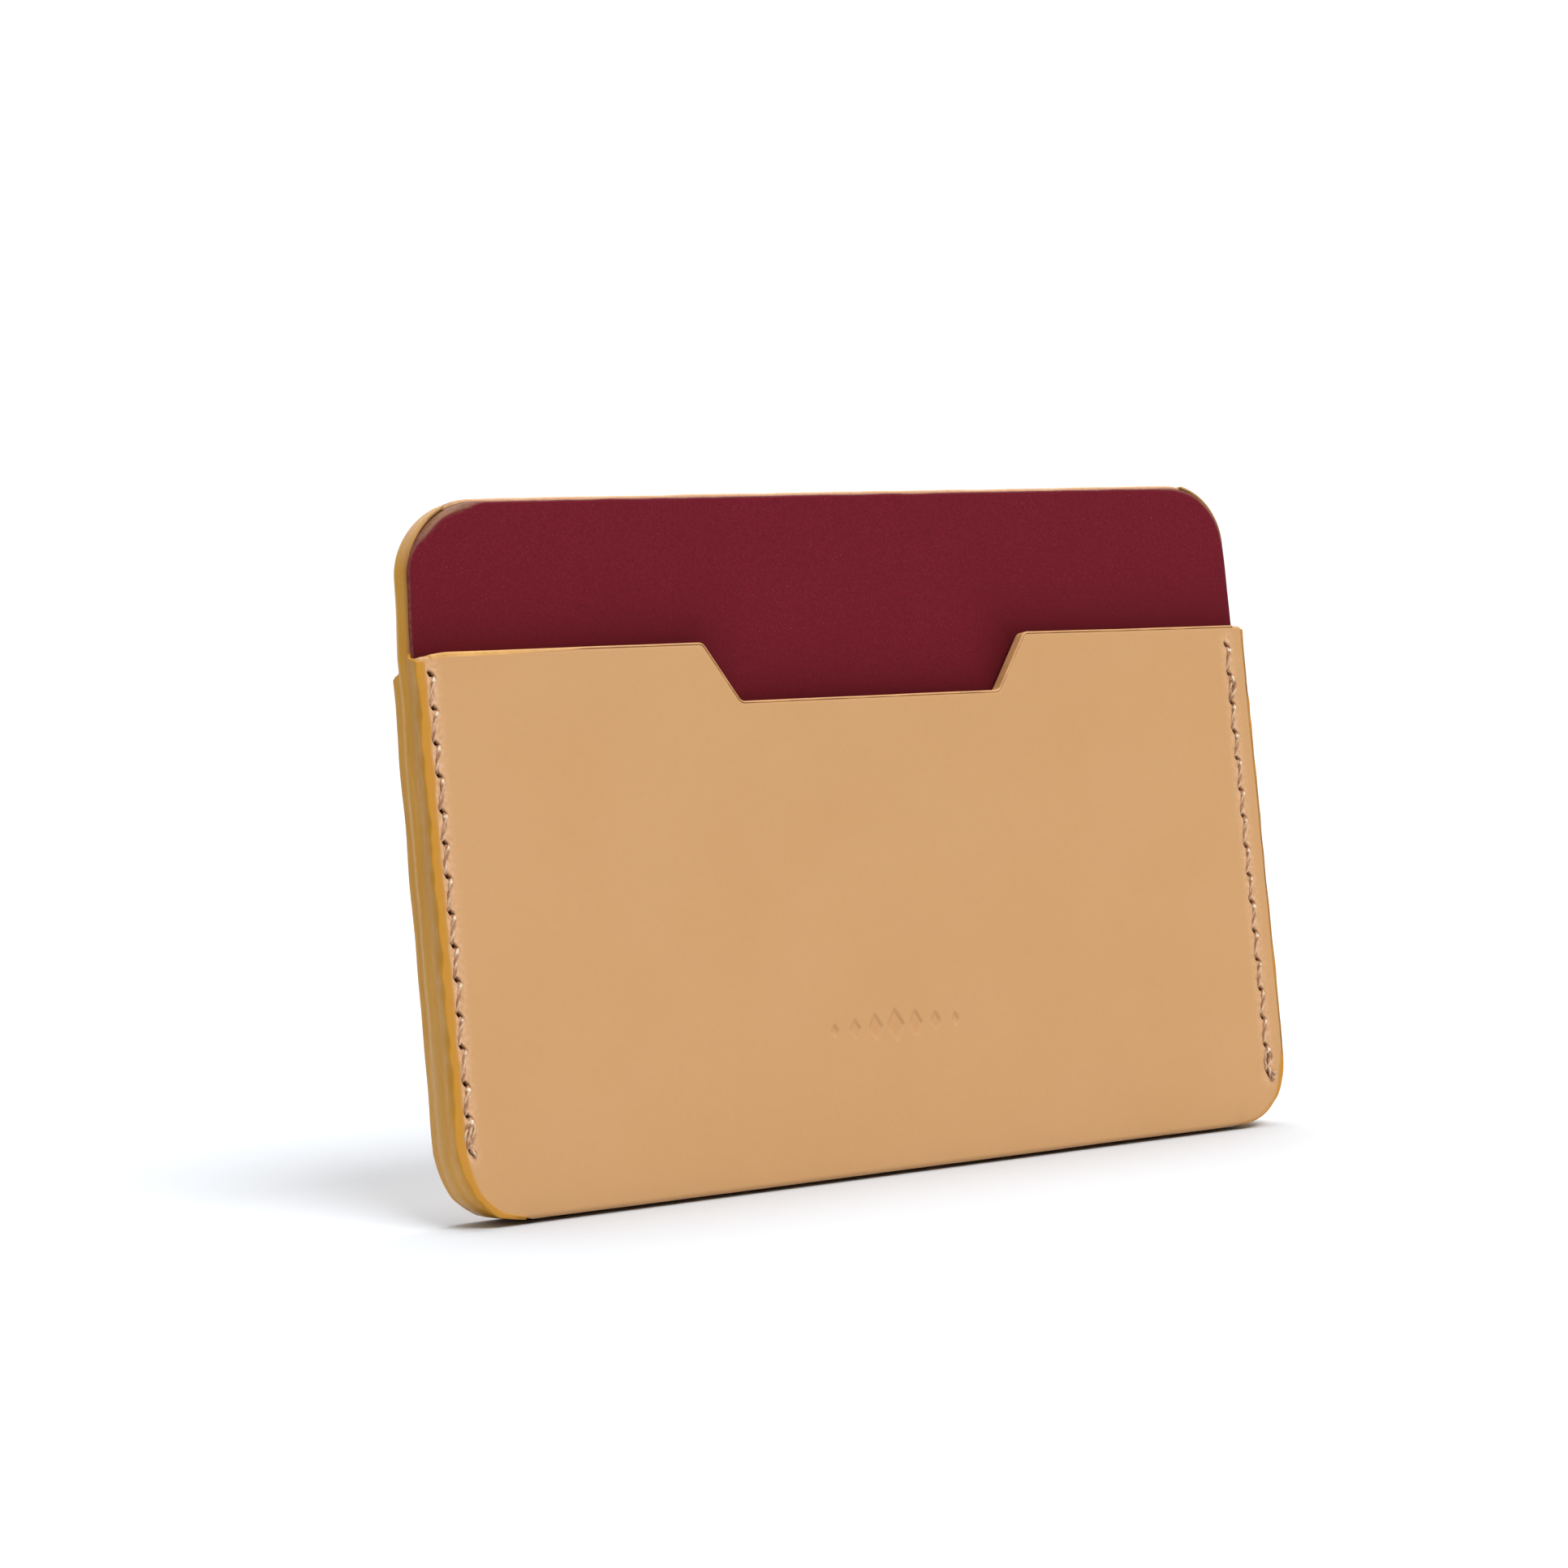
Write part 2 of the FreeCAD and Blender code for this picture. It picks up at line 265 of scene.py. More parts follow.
def make_piece(name, node, material, verts, faces, marks):
    """A mesh object, from millimetres, that stands for the CAD node.

    marks holds two to four numbers for each vertex, which the material reads as a colour.
    """
    mesh = bpy.data.meshes.new(name)
    mesh.from_pydata((verts * MM).tolist(), [], [list(f) for f in faces])
    mesh.validate()
    mesh.polygons.foreach_set("use_smooth", [True] * len(mesh.polygons))
    mesh.materials.append(material)
    mesh.update()
    colours = np.zeros((len(verts), 4), np.float32)
    colours[:, 3] = 1
    colours[:, :marks.shape[1]] = marks
    layer = mesh.attributes.new("marks", "FLOAT_COLOR", "POINT")
    layer.data.foreach_set("color", colours.ravel())
    piece = bpy.data.objects.new(name, mesh)
    bpy.context.scene.collection.objects.link(piece)
    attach(piece, "root")
    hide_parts(node)


def triangulate(points, ring_count):
    """Triangles over the points, inside the loop that the first ones make."""
    coords = [Vector(p) for p in points]
    ring = list(range(ring_count))
    made = geometry.delaunay_2d_cdt(coords, [], [ring], 1, 1e-6)
    origin = np.array([ids[0] if ids else -1 for ids in made[3]])
    faces = origin[np.array(made[2])]
    faces = faces[faces.min(1) >= 0]
    ab = points[faces[:, 1]] - points[faces[:, 0]]
    ac = points[faces[:, 2]] - points[faces[:, 0]]
    wrong_way = ab[:, 0] * ac[:, 1] < ab[:, 1] * ac[:, 0]
    faces[wrong_way] = faces[wrong_way][:, [0, 2, 1]]
    return faces


SHELL_INSETS = (0.05, 0.12, 0.22, 0.36, 0.55)
PANEL_INSETS = (0.05, 0.12, 0.22, 0.36, 0.55, 0.8, 1.1, 1.45)


def leather_sheet(loop, insets, fine, coarse, place, thickness, rim, relief):
    """Closed leather sheet: a fine outer face, a coarse inner one, and rounded rims.

    place(points, depth) puts flat points into space; relief(points) is the outer face's depth
    and rim(points) the radius of its rounded edge.
    Returns the vertices, the faces, the outer vertices' flat points and their edge distance.
    """
    normals = loop_normals(loop)
    rims = [loop - normals * inset for inset in insets]
    rims = [r[edge_distance(r, loop) > inset * 0.9] for r, inset in zip(rims, insets)]
    clear = insets[-1] + 0.12
    fine = fine[edge_distance(fine, loop) > clear]
    coarse = coarse[edge_distance(coarse, loop) > clear]
    outer = np.vstack([loop, *rims, fine])
    inner = np.vstack([loop, rims[1], rims[3], coarse])
    outer_edge = edge_distance(outer, loop)
    inner_edge = edge_distance(inner, loop)

    def rim_drop(edge, radius):
        inset = np.clip(radius - edge, 0, radius)
        return radius - np.sqrt(np.maximum(radius**2 - inset**2, 0))

    outer_depth = rim_drop(outer_edge, rim(outer)) + relief(outer)
    inner_depth = thickness - rim_drop(inner_edge, INNER_RIM)
    verts = np.vstack([place(outer, outer_depth), place(inner, inner_depth)])
    first = len(outer)
    faces = triangulate(outer, len(loop)).tolist()
    faces += (first + triangulate(inner, len(loop))[:, ::-1]).tolist()
    for i in range(len(loop)):
        j = (i + 1) % len(loop)
        faces.append((i, first + i, first + j, j))
    return verts, faces, outer, outer_edge


def loft(sections):
    """Closed skin over rings of points, each ring with the same count."""
    rings = len(sections)
    count = len(sections[0])
    faces = []
    for i in range(rings - 1):
        for k in range(count):
            n = (k + 1) % count
            a, b = i * count, (i + 1) * count
            faces.append((a + k, a + n, b + n, b + k))
    last = (rings - 1) * count
    for k in range(count):
        n = (k + 1) % count
        faces.append((rings * count, n, k))
        faces.append((rings * count + 1, last + k, last + n))
    return np.vstack([*sections, sections[0].mean(0), sections[-1].mean(0)]), faces


def join_parts(parts):
    """Several (verts, faces, values) meshes as one."""
    verts, faces, values, base = [], [], [], 0
    for part_verts, part_faces, part_values in parts:
        verts.append(part_verts)
        values.append(part_values)
        faces.extend(tuple(base + i for i in f) for f in part_faces)
        base += len(part_verts)
    return np.vstack(verts), faces, np.vstack(values)


# ---------------------------------------------------------------- the stitch line


def seam_holes(seam):
    """(x, z) of each awl hole, bottom to top, a little uneven as hand sewing is."""
    dice = random.Random(seam["seed"])
    holes = []
    for i in range(seam["count"]):
        x = seam["x"] + dice.uniform(-0.05, 0.05)
        z = seam["first_z"] + seam["pitch"] * i + dice.uniform(-0.16, 0.16)
        holes.append((x, z))
    return holes


HOLES = {seam["x"]: seam_holes(seam) for seam in (LEFT_SEAM, RIGHT_SEAM)}


def slit_distance(x, z, hole):
    """Elliptical distance from a slit: 1 on its rim."""
    dx, dz = x - hole[0], z - hole[1]
    along = (dx * SLIT[0] + dz * SLIT[1]) / SLIT_HALF
    across = (dx * SLIT[1] - dz * SLIT[0]) / SLIT_WIDE
    return np.sqrt(along**2 + across**2)


def near_slits(x, z, reach):
    """For each slit: which points lie within reach of it, and their elliptical distance."""
    for holes in HOLES.values():
        for hole in holes:
            close = np.hypot(x - hole[0], z - hole[1]) < reach
            if close.any():
                yield close, slit_distance(x[close], z[close], hole)


def seam_run(z, holes, margin, softness):
    """1 beside a seam's stitches, fading out over its ends."""
    low, high = holes[0][1] - margin, holes[-1][1] + margin
    return smooth((z - low) / softness) * smooth((high - z) / softness)


# ---------------------------------------------------------------- the outer shell


def wall_z(s):
    """Height on the walls of an unrolled distance s from the foot's middle."""
    return np.abs(s) - CREASE_END + CREASE_R


def unrolled(z):
    """Unrolled distance from the foot's middle of a height on the walls."""
    return z - CREASE_R + CREASE_END


def place_shell(points, depth):
    """Unrolled points (x, s) into space: front wall, flat foot, back wall."""
    x, s = points[:, 0], points[:, 1]
    away = np.abs(s)
    angle = np.clip((away - FOOT_HALF) / CREASE_R, 0, math.pi / 2)
    radius = np.maximum(CREASE_R - depth, 0.2)
    centre = depth + radius
    foot = np.minimum(away / FOOT_HALF, 1) * (STACK_HALF - centre)
    up = np.maximum(away - CREASE_END, 0)
    y = Y_MID - np.sign(s) * (foot + radius * np.sin(angle))
    z = centre - radius * np.cos(angle) + up
    z = z - (centre - CREASE_R) * (1 - np.exp(-up / 3))
    y = y - np.where(s > 0, bow(x, z), 0)
    droop = (FRONT_H - mouth_z(x)) * smooth((z - FRONT_H + 6) / 6)
    z = z - np.where(s > 0, droop, 0)
    return np.column_stack([x, y, z])


def lozenge(x, z):
    """1 inside the debossed row of lozenges, 0 outside, with soft sides."""
    inside = np.zeros_like(x)
    for i in range(MARK_COUNT):
        step = i - (MARK_COUNT - 1) / 2
        high = MARK_HALF - MARK_TAPER * abs(step)
        wide = MARK_SLIMNESS * high
        gap = np.abs(x - step * MARK_PITCH) / wide + np.abs(z - MARK_Z) / high
        inside = np.maximum(inside, smooth((1.12 - gap) * high / 0.45))
    return inside


def shell_relief(points):
    """Depth of the shell's outer face below the plain sheet."""
    x, s = points[:, 0], points[:, 1]
    z = wall_z(s)
    depth = 0.035 * field(x, s, 17.0, 1) + 0.012 * field(x, s, 4.5, 2)
    for seam_x, holes in HOLES.items():
        valley = 0.13 * seam_run(z, holes, 1.2, 1.4) * bell(x, seam_x, 0.4)
        depth = depth + np.where(np.abs(x - seam_x) < 3.0, valley, 0)
    for close, rho in near_slits(x, z, 1.8):
        pit = SLIT_DEEP * (1 - smooth((rho - 0.35) / 0.85))
        lip = 0.055 * bell(rho, 1.9, 0.6)
        pull = 0.07 * bell(rho, 0, 3.0)
        depth[close] += pit - lip + pull
    return depth + np.where(s > 0, MARK_DEPTH * lozenge(x, z), 0)


def shell_rim(points):
    return np.full(len(points), RIM)


def shell_marks(points):
    """Per point: painted shade in the awl slits, pinkish puckering round the stitches, deboss."""
    x, s = points[:, 0], points[:, 1]
    z = wall_z(s)
    dark = np.zeros_like(x)
    halo = np.zeros_like(x)
    for seam_x, holes in HOLES.items():
        halo = np.maximum(halo, seam_run(z, holes, 2.2, 2) * bell(x, seam_x, 0.7))
    # painted shade in and round each awl slit
    for close, rho in near_slits(x, z, 1.5):
        dark[close] = np.maximum(dark[close], 1 - smooth((rho - 0.8) / 0.5))
    deboss = np.where(s > 0, lozenge(x, z), 0)
    return np.column_stack([dark, halo, deboss])


def corner_line(side):
    """A hand-cut bottom corner as (half width, z), from the side to the bottom, in flat cuts."""
    turn = np.radians(np.arange(91.0))
    radius = np.full(len(turn), BOTTOM_R)
    for start, end in zip(CORNER_CUTS[:-1], CORNER_CUTS[1:]):
        middle, half = math.radians(start + end) / 2, math.radians(end - start) / 2
        chord = BOTTOM_R * math.cos(half) / np.cos(turn - middle)
        inside = np.abs(turn - middle) <= half
        radius = np.where(inside, BOTTOM_R + (chord - BOTTOM_R) * CUT_SHARE[side], radius)
    across = HALF - BOTTOM_R + radius * np.cos(turn)
    return np.column_stack([across, BOTTOM_R - radius * np.sin(turn)])


CORNER_LINE = {side: corner_line(side) for side in (LEFT, RIGHT)}


def side_x(z, side):
    """Half width of the stack's outline at a height, on one side."""
    line = CORNER_LINE[side][::-1]
    return np.interp(z, line[:, 1], line[:, 0])


def fold_z(s):
    """Height of the outer surface at an unrolled distance."""
    angle = np.clip((np.abs(s) - FOOT_HALF) / CREASE_R, 0, math.pi / 2)
    return CREASE_R * (1 - np.cos(angle)) + np.maximum(np.abs(s) - CREASE_END, 0)


def notch_points():
    """Corners of the thumb notch, right to left, as (x, z)."""
    low = FRONT_H - NOTCH_DEPTH
    return [
        (NOTCH_X + NOTCH_TOP / 2, FRONT_H),
        (NOTCH_X + NOTCH_BOTTOM / 2, low),
        (NOTCH_X - NOTCH_BOTTOM / 2, low),
        (NOTCH_X - NOTCH_TOP / 2, FRONT_H),
    ]


def shell_loop():
    """Outline of the unrolled shell, counter-clockwise."""
    top, bottom = unrolled(FRONT_H), -unrolled(BACK_H)
    corner = unrolled(BOTTOM_R)
    side_s = np.concatenate([
        [bottom + 0.001],
        np.arange(bottom + 0.5, -corner, 0.5),
        np.arange(-corner, -CREASE_END, 0.3),
        np.linspace(-CREASE_END, -FOOT_HALF, 12),
        np.linspace(-FOOT_HALF, FOOT_HALF, 10)[1:-1],
        np.linspace(FOOT_HALF, CREASE_END, 12),
        np.arange(CREASE_END + 0.3, corner, 0.3),
        np.arange(corner, top - 0.8, 0.5),
        [top - 0.5],
    ])
    right = np.column_stack([side_x(fold_z(side_s), RIGHT), side_s])
    left = np.column_stack([-side_x(fold_z(side_s), LEFT), side_s])[::-1]
    notch = [(x, unrolled(z)) for x, z in notch_points()]
    corners = [(HALF, top), *notch, (-HALF, top)]
    radii = [0.5, *[NOTCH_R] * 4, 0.5]
    below = [(-HALF, top - 20), (HALF, top - 20)]
    mouth = rounded(corners + below, radii + [0, 0])
    mouth = mouth[mouth[:, 1] > top - NOTCH_DEPTH - 0.5]
    mouth = mouth[np.abs(mouth[:, 0]) < HALF - 1e-6]
    back_mouth = between(left[-1], right[0], 0.5)
    return np.vstack([right, mouth, left, np.array(back_mouth)])


def crease_rows(steps, pitch):
    """Rows of unrolled points along both creases of the foot."""
    xs = np.arange(-HALF + 2, HALF - 2, pitch)
    offs = np.linspace(FOOT_HALF, CREASE_END, steps)
    return np.array([(x, sign * off) for sign in (-1, 1) for off in offs for x in xs])


def off_crease(points, gap):
    """The points that lie clear of the creases."""
    middle = (FOOT_HALF + CREASE_END) / 2
    reach = (CREASE_END - FOOT_HALF) / 2 + gap
    return points[np.abs(np.abs(points[:, 1]) - middle) > reach]


def shell_points(dice):
    """Interior points of the shell's outer face: fine at the seams, finest at the slits."""
    top, bottom = unrolled(FRONT_H), -unrolled(BACK_H)
    holes = [hole for holes in HOLES.values() for hole in holes]
    spots = np.array([(x, face * unrolled(z)) for x, z in holes for face in (1, -1)])
    disc = hex_grid(-0.95, 0.95, -0.95, 0.95, 0.11, dice)
    disc = disc[np.hypot(disc[:, 0], disc[:, 1]) < 0.9]
    parts = [disc + spot for spot in spots]
    base = hex_grid(-HALF, HALF, bottom, top, 1.5, dice)
    in_band = np.zeros(len(base), bool)
    for seam_x in HOLES:
        in_band |= np.abs(base[:, 0] - seam_x) < 2.2
    mark_wide = MARK_PITCH * MARK_COUNT / 2 + 0.6
    mark_s = unrolled(MARK_Z)
    in_mark = (np.abs(base[:, 0]) < mark_wide) & (np.abs(base[:, 1] - mark_s) < 2.6)
    parts.append(off_crease(base[~in_band & ~in_mark], 0.6))
    parts.append(crease_rows(6, 1.3))
    parts.append(hex_grid(-mark_wide, mark_wide, mark_s - 2.4, mark_s + 2.4, 0.16, dice))
    for seam_x in HOLES:
        band = hex_grid(seam_x - 2.0, seam_x + 2.0, bottom, top, 0.42, dice)
        gap = np.hypot(band[:, None, 0] - spots[None, :, 0], band[:, None, 1] - spots[None, :, 1])
        parts.append(off_crease(band[gap.min(1) > 1.05], 0.2))
    return np.vstack(parts)


def build_shell():
    dice = np.random.default_rng(11)
    loop = shell_loop()
    fine = shell_points(dice)
    coarse = hex_grid(-HALF, HALF, -unrolled(BACK_H), unrolled(FRONT_H), 2.5, dice)
    coarse = np.vstack([off_crease(coarse, 0.8), crease_rows(2, 2.5)])
    fine = fine[inside_loop(fine, loop)]
    coarse = coarse[inside_loop(coarse, loop)]
    verts, faces, outer, _ = leather_sheet(
        loop, SHELL_INSETS, fine, coarse, place_shell, SHELL_T, shell_rim, shell_relief
    )
    marks = np.zeros((len(verts), 4))
    marks[:len(outer), :3] = shell_marks(outer)
    marks[len(outer):, 3] = 1       # the flesh side
    make_piece("outer_shell_leather", "outer_shell", tan_leather(), verts, faces, marks)


# ---------------------------------------------------------------- the centre panel


def panel_loop(inset, foot, top_inset):
    """Outline of a ply of the panel, inset a little from the full size."""
    side = HALF - inset
    points = [
        (-side, foot),
        (side, foot),
        (side, FRONT_H),
        (side - PANEL_NARROWING[RIGHT], PANEL_H[RIGHT] - top_inset),
        (PANEL_NARROWING[LEFT] - side, PANEL_H[LEFT] - top_inset),
        (-side, FRONT_H),
    ]
    low = BOTTOM_R - foot + 1.5
    return rounded(points, [low, low, 0, PANEL_R[RIGHT] - inset, PANEL_R[LEFT] - inset, 0], step=0.45)


# Wear round each top corner: its centre, inward and down from the corner, reach, softness, amount
CORNER_WEAR = {LEFT: (4.4, 1.4, 5.6, 3.6, 1.0), RIGHT: (2.5, 2.5, 8.0, 5.0, 0.4)}


def corner_amount(points):
    """1 at the panel's top left corner, less at the top right, 0 elsewhere."""
    total = np.zeros(len(points))
    for side, (inward, down, reach, softness, amount) in CORNER_WEAR.items():
        away = np.hypot(side * points[:, 0] - HALF + inward, points[:, 1] - PANEL_H[side] + down)
        total = np.maximum(total, amount * smooth((reach - away) / softness))
    return total


def painted_mouth_shade(points):
    """1 at the front mouth, fading upwards: painted shade on the lining, where the front wall's edge
    shadows it.
    """
    wide = 2 * HALF
    corners = [(wide, 0), (wide, FRONT_H), *notch_points(), (-wide, FRONT_H), (-wide, 0)]
    wall = rounded(corners, [0] * len(corners))
    gap = np.where(inside_loop(points, wall), 0.0, edge_distance(points, wall))
    return np.exp(-gap / SHADE_REACH)


def build_plate(name, node, material, y_face, thickness, insets, rim, wobble, seed):
    """One of the panel's two plies: a plate with rounded rims and a slightly uneven edge."""
    dice = np.random.default_rng(seed)
    loop = panel_loop(insets[0], PANEL_FOOT, insets[1])
    uneven = field(loop[:, 0], loop[:, 1], 3.2, seed) * wobble
    loop = loop - loop_normals(loop) * (uneven[:, None] + wobble)
    fine = hex_grid(-HALF, HALF, PANEL_FOOT, PANEL_TOP, 1.3, dice)
    fine = fine[inside_loop(fine, loop)]
    coarse = hex_grid(-HALF, HALF, PANEL_FOOT, PANEL_TOP, 4.0, dice)
    coarse = coarse[inside_loop(coarse, loop)]

    def place(points, depth):
        return np.column_stack([points[:, 0], y_face + depth, points[:, 1]])

    def relief(points):
        return 0.02 * (1 + field(points[:, 0], points[:, 1], 14.0, seed + 1))

    verts, faces, outer, edge = leather_sheet(
        loop, PANEL_INSETS, fine, coarse, place, thickness, rim, relief
    )
    corner = corner_amount(outer)
    ragged = 0.06 * (0.3 + corner) * field(outer[:, 0], outer[:, 1], 3.5, seed + 2)
    cut_rim = 1 - smooth((edge - 0.13 - 0.6 * corner - ragged) / (0.14 + 0.2 * corner) + 0.5)
    inner = verts[len(outer):][:, [0, 2]]
    inner_corner = corner_amount(inner) * smooth(1.2 - edge_distance(inner, loop))
    # the third mark is the painted shade on the lining above the front mouth
    marks = np.vstack([
        np.column_stack([cut_rim, corner, painted_mouth_shade(outer)]),
        np.column_stack([np.ones(len(inner)), inner_corner, np.zeros(len(inner))]),
    ])
    make_piece(name, node, material, verts, faces, marks)


def lining_rim(points):
    return 0.3 + 0.5 * corner_amount(points)


def core_rim(points):
    return 0.22 + 0.2 * corner_amount(points)


def build_lining():
    build_plate(
        "panel_lining_leather", "panel_lining", burgundy_leather(),
        Y_LINING, Y_CORE - Y_LINING, (0.12, 0.4), lining_rim, 0.04, 21,
    )


def build_core():
    build_plate(
        "panel_core_leather", "panel_core", core_leather(),
        Y_CORE, Y_WALL - Y_CORE, (0.0, 0.0), core_rim, 0.03, 31,
    )


# ---------------------------------------------------------------- edge paint


def creased_half(z):
    """Half thickness of the stack at a height, and the unrolled distance of its outer surface."""
    low = np.clip(1 - z / CREASE_R, 0, 1)
    s = np.where(z < CREASE_R, FOOT_HALF + CREASE_R * np.arccos(low), unrolled(z))
    return FOOT_HALF + CREASE_R * np.sqrt(1 - low**2), s


def front_face(x, z):
    """Y of the shell's front surface, following the crease below."""
    half, s = creased_half(z)
    return Y_MID - half - bow(x, z) + shell_relief(np.column_stack([x, s]))


def back_face(x, z):
    """Y of the shell's back surface."""
    half, s = creased_half(z)
    return Y_MID + half - shell_relief(np.column_stack([x, -s]))


SIDE_STEPS = 22
CORNER_STEPS = 5
CORNER_EASE = 0.2           # radius of the paint's own corners
LAP_PROFILE = ((1.0, -0.02), (0.93, 0.55), (0.8, 0.95), (0.5, 1.0))    # shares of lap and height


def ease(a, b, t):
    """From a to b as t goes from 0 to 1, softly."""
    return a + (b - a) * smooth(t)


def coat_ribbon(spots, normals, front, back, lap_front, lap_back, bulge, proud, coat):
    """Rings of points along a painted edge, one ring a station.

    front(x, z) and back(x, z) are the faces; the laps are how far the paint runs onto them;
    bulge(y) is the coat's extra thickness at a depth. Each works on all stations at once.
    """
    def on(face, out):
        return face(spots[:, 0] + normals[:, 0] * out, spots[:, 1] + normals[:, 1] * out)

    none = np.zeros(len(spots))
    y0, y1 = on(front, none), on(back, none)
    span = y1 - y0
    scale = np.minimum(1.0, span / 1.4)
    corner = CORNER_EASE * scale
    lift = proud * scale
    sink = 0.28 * scale

    def half(face, edge, lap, outward):
        """From the lap's end over the face and round the paint's own corner, as (out, y)."""
        line = []
        for share, height in LAP_PROFILE:
            line.append((-lap * share, on(face, -lap * share) + outward * lift * height))
        for k in range(CORNER_STEPS + 1):
            turn = math.pi / 2 * k / CORNER_STEPS
            y = edge + outward * (lift - corner + corner * math.cos(turn))
            line.append((coat + bulge(y) - corner + corner * math.sin(turn), y))
        return line

    ring = half(front, y0, lap_front, -1)
    for k in range(1, SIDE_STEPS):
        y = y0 - lift + corner + (span + 2 * lift - 2 * corner) * k / SIDE_STEPS
        ring.append((coat + bulge(y), y))
    ring += half(back, y1, lap_back, 1)[::-1]
    ring.append((-lap_back, on(back, -lap_back) - sink))
    ring.append((none - 0.2, y1 - sink))
    ring.append((none - 0.2, y0 + sink))
    ring.append((-lap_front, on(front, -lap_front) + sink))
    out, y = (np.array(column).T for column in zip(*ring))
    x = spots[:, :1] + normals[:, :1] * out
    z = spots[:, 1:] + normals[:, 1:] * out
    return np.stack([x, y, z], axis=2)


def ribbon_values():
    """For each point of a ring: 1 on a face and 0 on the side, and 1 where the coat thins out."""
    face = [1.0] * len(LAP_PROFILE)
    face += [1 - k / CORNER_STEPS for k in range(CORNER_STEPS + 1)]
    face += [0.0] * (SIDE_STEPS - 1)
    face += face[len(LAP_PROFILE) + CORNER_STEPS:len(LAP_PROFILE) - 1:-1]
    face += [1.0] * (len(LAP_PROFILE) + 4)
    thin = [smooth((share - 0.7) / 0.3) for share, _ in LAP_PROFILE]
    middle = [0.0] * (2 * (CORNER_STEPS + 1) + SIDE_STEPS - 1)
    thin = thin + middle + thin[::-1] + [1.0, 0.0, 0.0, 1.0]
    return np.column_stack([face, thin])


def lengths_along(line):
    steps = np.linalg.norm(np.diff(line, axis=0), axis=1)
    return np.concatenate([[0], np.cumsum(steps)])


def left_normals(line):
    """Unit normals to the left of an open line."""
    along = np.gradient(line, axis=0)
    along /= np.linalg.norm(along, axis=1)[:, None]
    return np.column_stack([-along[:, 1], along[:, 0]])


def streak(length, row, size, seed):
    """Smooth noise along a line."""
    return field(length, np.full(len(length), row * 9.1), size, seed)


def mouth_z(x):
    """Height of the front mouth, a little lower at its worn left corner."""
    return FRONT_H - WORN_DROP * smooth((WORN_X - x) / WORN_WIDE)


def coat_piece(name, node, material, rings, values, flip):
    """A piece of edge paint from its rings, with numbers for each of their points."""
    values = values.reshape(*rings.shape[:2], -1)
    if flip:
        rings, values = rings[:, ::-1], values[:, ::-1]
    verts, faces = loft(list(rings))
    values = np.vstack([*values, values[0, 0], values[-1, -1]])
    make_piece(name, node, material, verts, faces, values)


def side_stations(side):
    """Spots and outward normals down one side: round the panel's corner, then down the stack."""
    panel = panel_loop(0.0, PANEL_FOOT, 0.0)
    painted = (panel[:, 0] * side > HALF - PAINT_REACH) & (panel[:, 1] > FRONT_H + 0.6)
    panel = panel[painted][::-side]
    zs = np.concatenate([
        np.arange(FRONT_H + 0.5, BACK_H - 0.75, -0.07),
        np.arange(BACK_H - 0.8, BOTTOM_R + 0.1, -0.22),
    ])
    lean = PANEL_NARROWING[side] / (PANEL_H[side] - FRONT_H)
    xs = HALF - np.maximum(0.0, zs - FRONT_H) * lean
    stack = np.vstack([np.column_stack([xs, zs]), CORNER_LINE[side][:88:2]])
    spots = np.vstack([panel, stack * (side, 1)])
    return spots, side * left_normals(spots)


def left_strip(z, length, seed):
    """How far the left paint laps onto the faces: broad, with a wavering edge."""
    wavering = 0.1 * streak(length, 1, 3.1, seed) + 0.06 * streak(length, 4, 1.5, seed)
    corner_turn = smooth(1 - z / BOTTOM_R)
    return (STRIP + wavering) * (1 - 0.55 * corner_turn**1.5)


def right_strip(z, length, seed):
    """On the right the paint barely laps, except above the bottom corner."""
    wavering = 0.05 * streak(length, 1, 3.1, seed)
    return RIGHT_STRIP + wavering + 0.45 * bell(z, 5.5, 2.2)


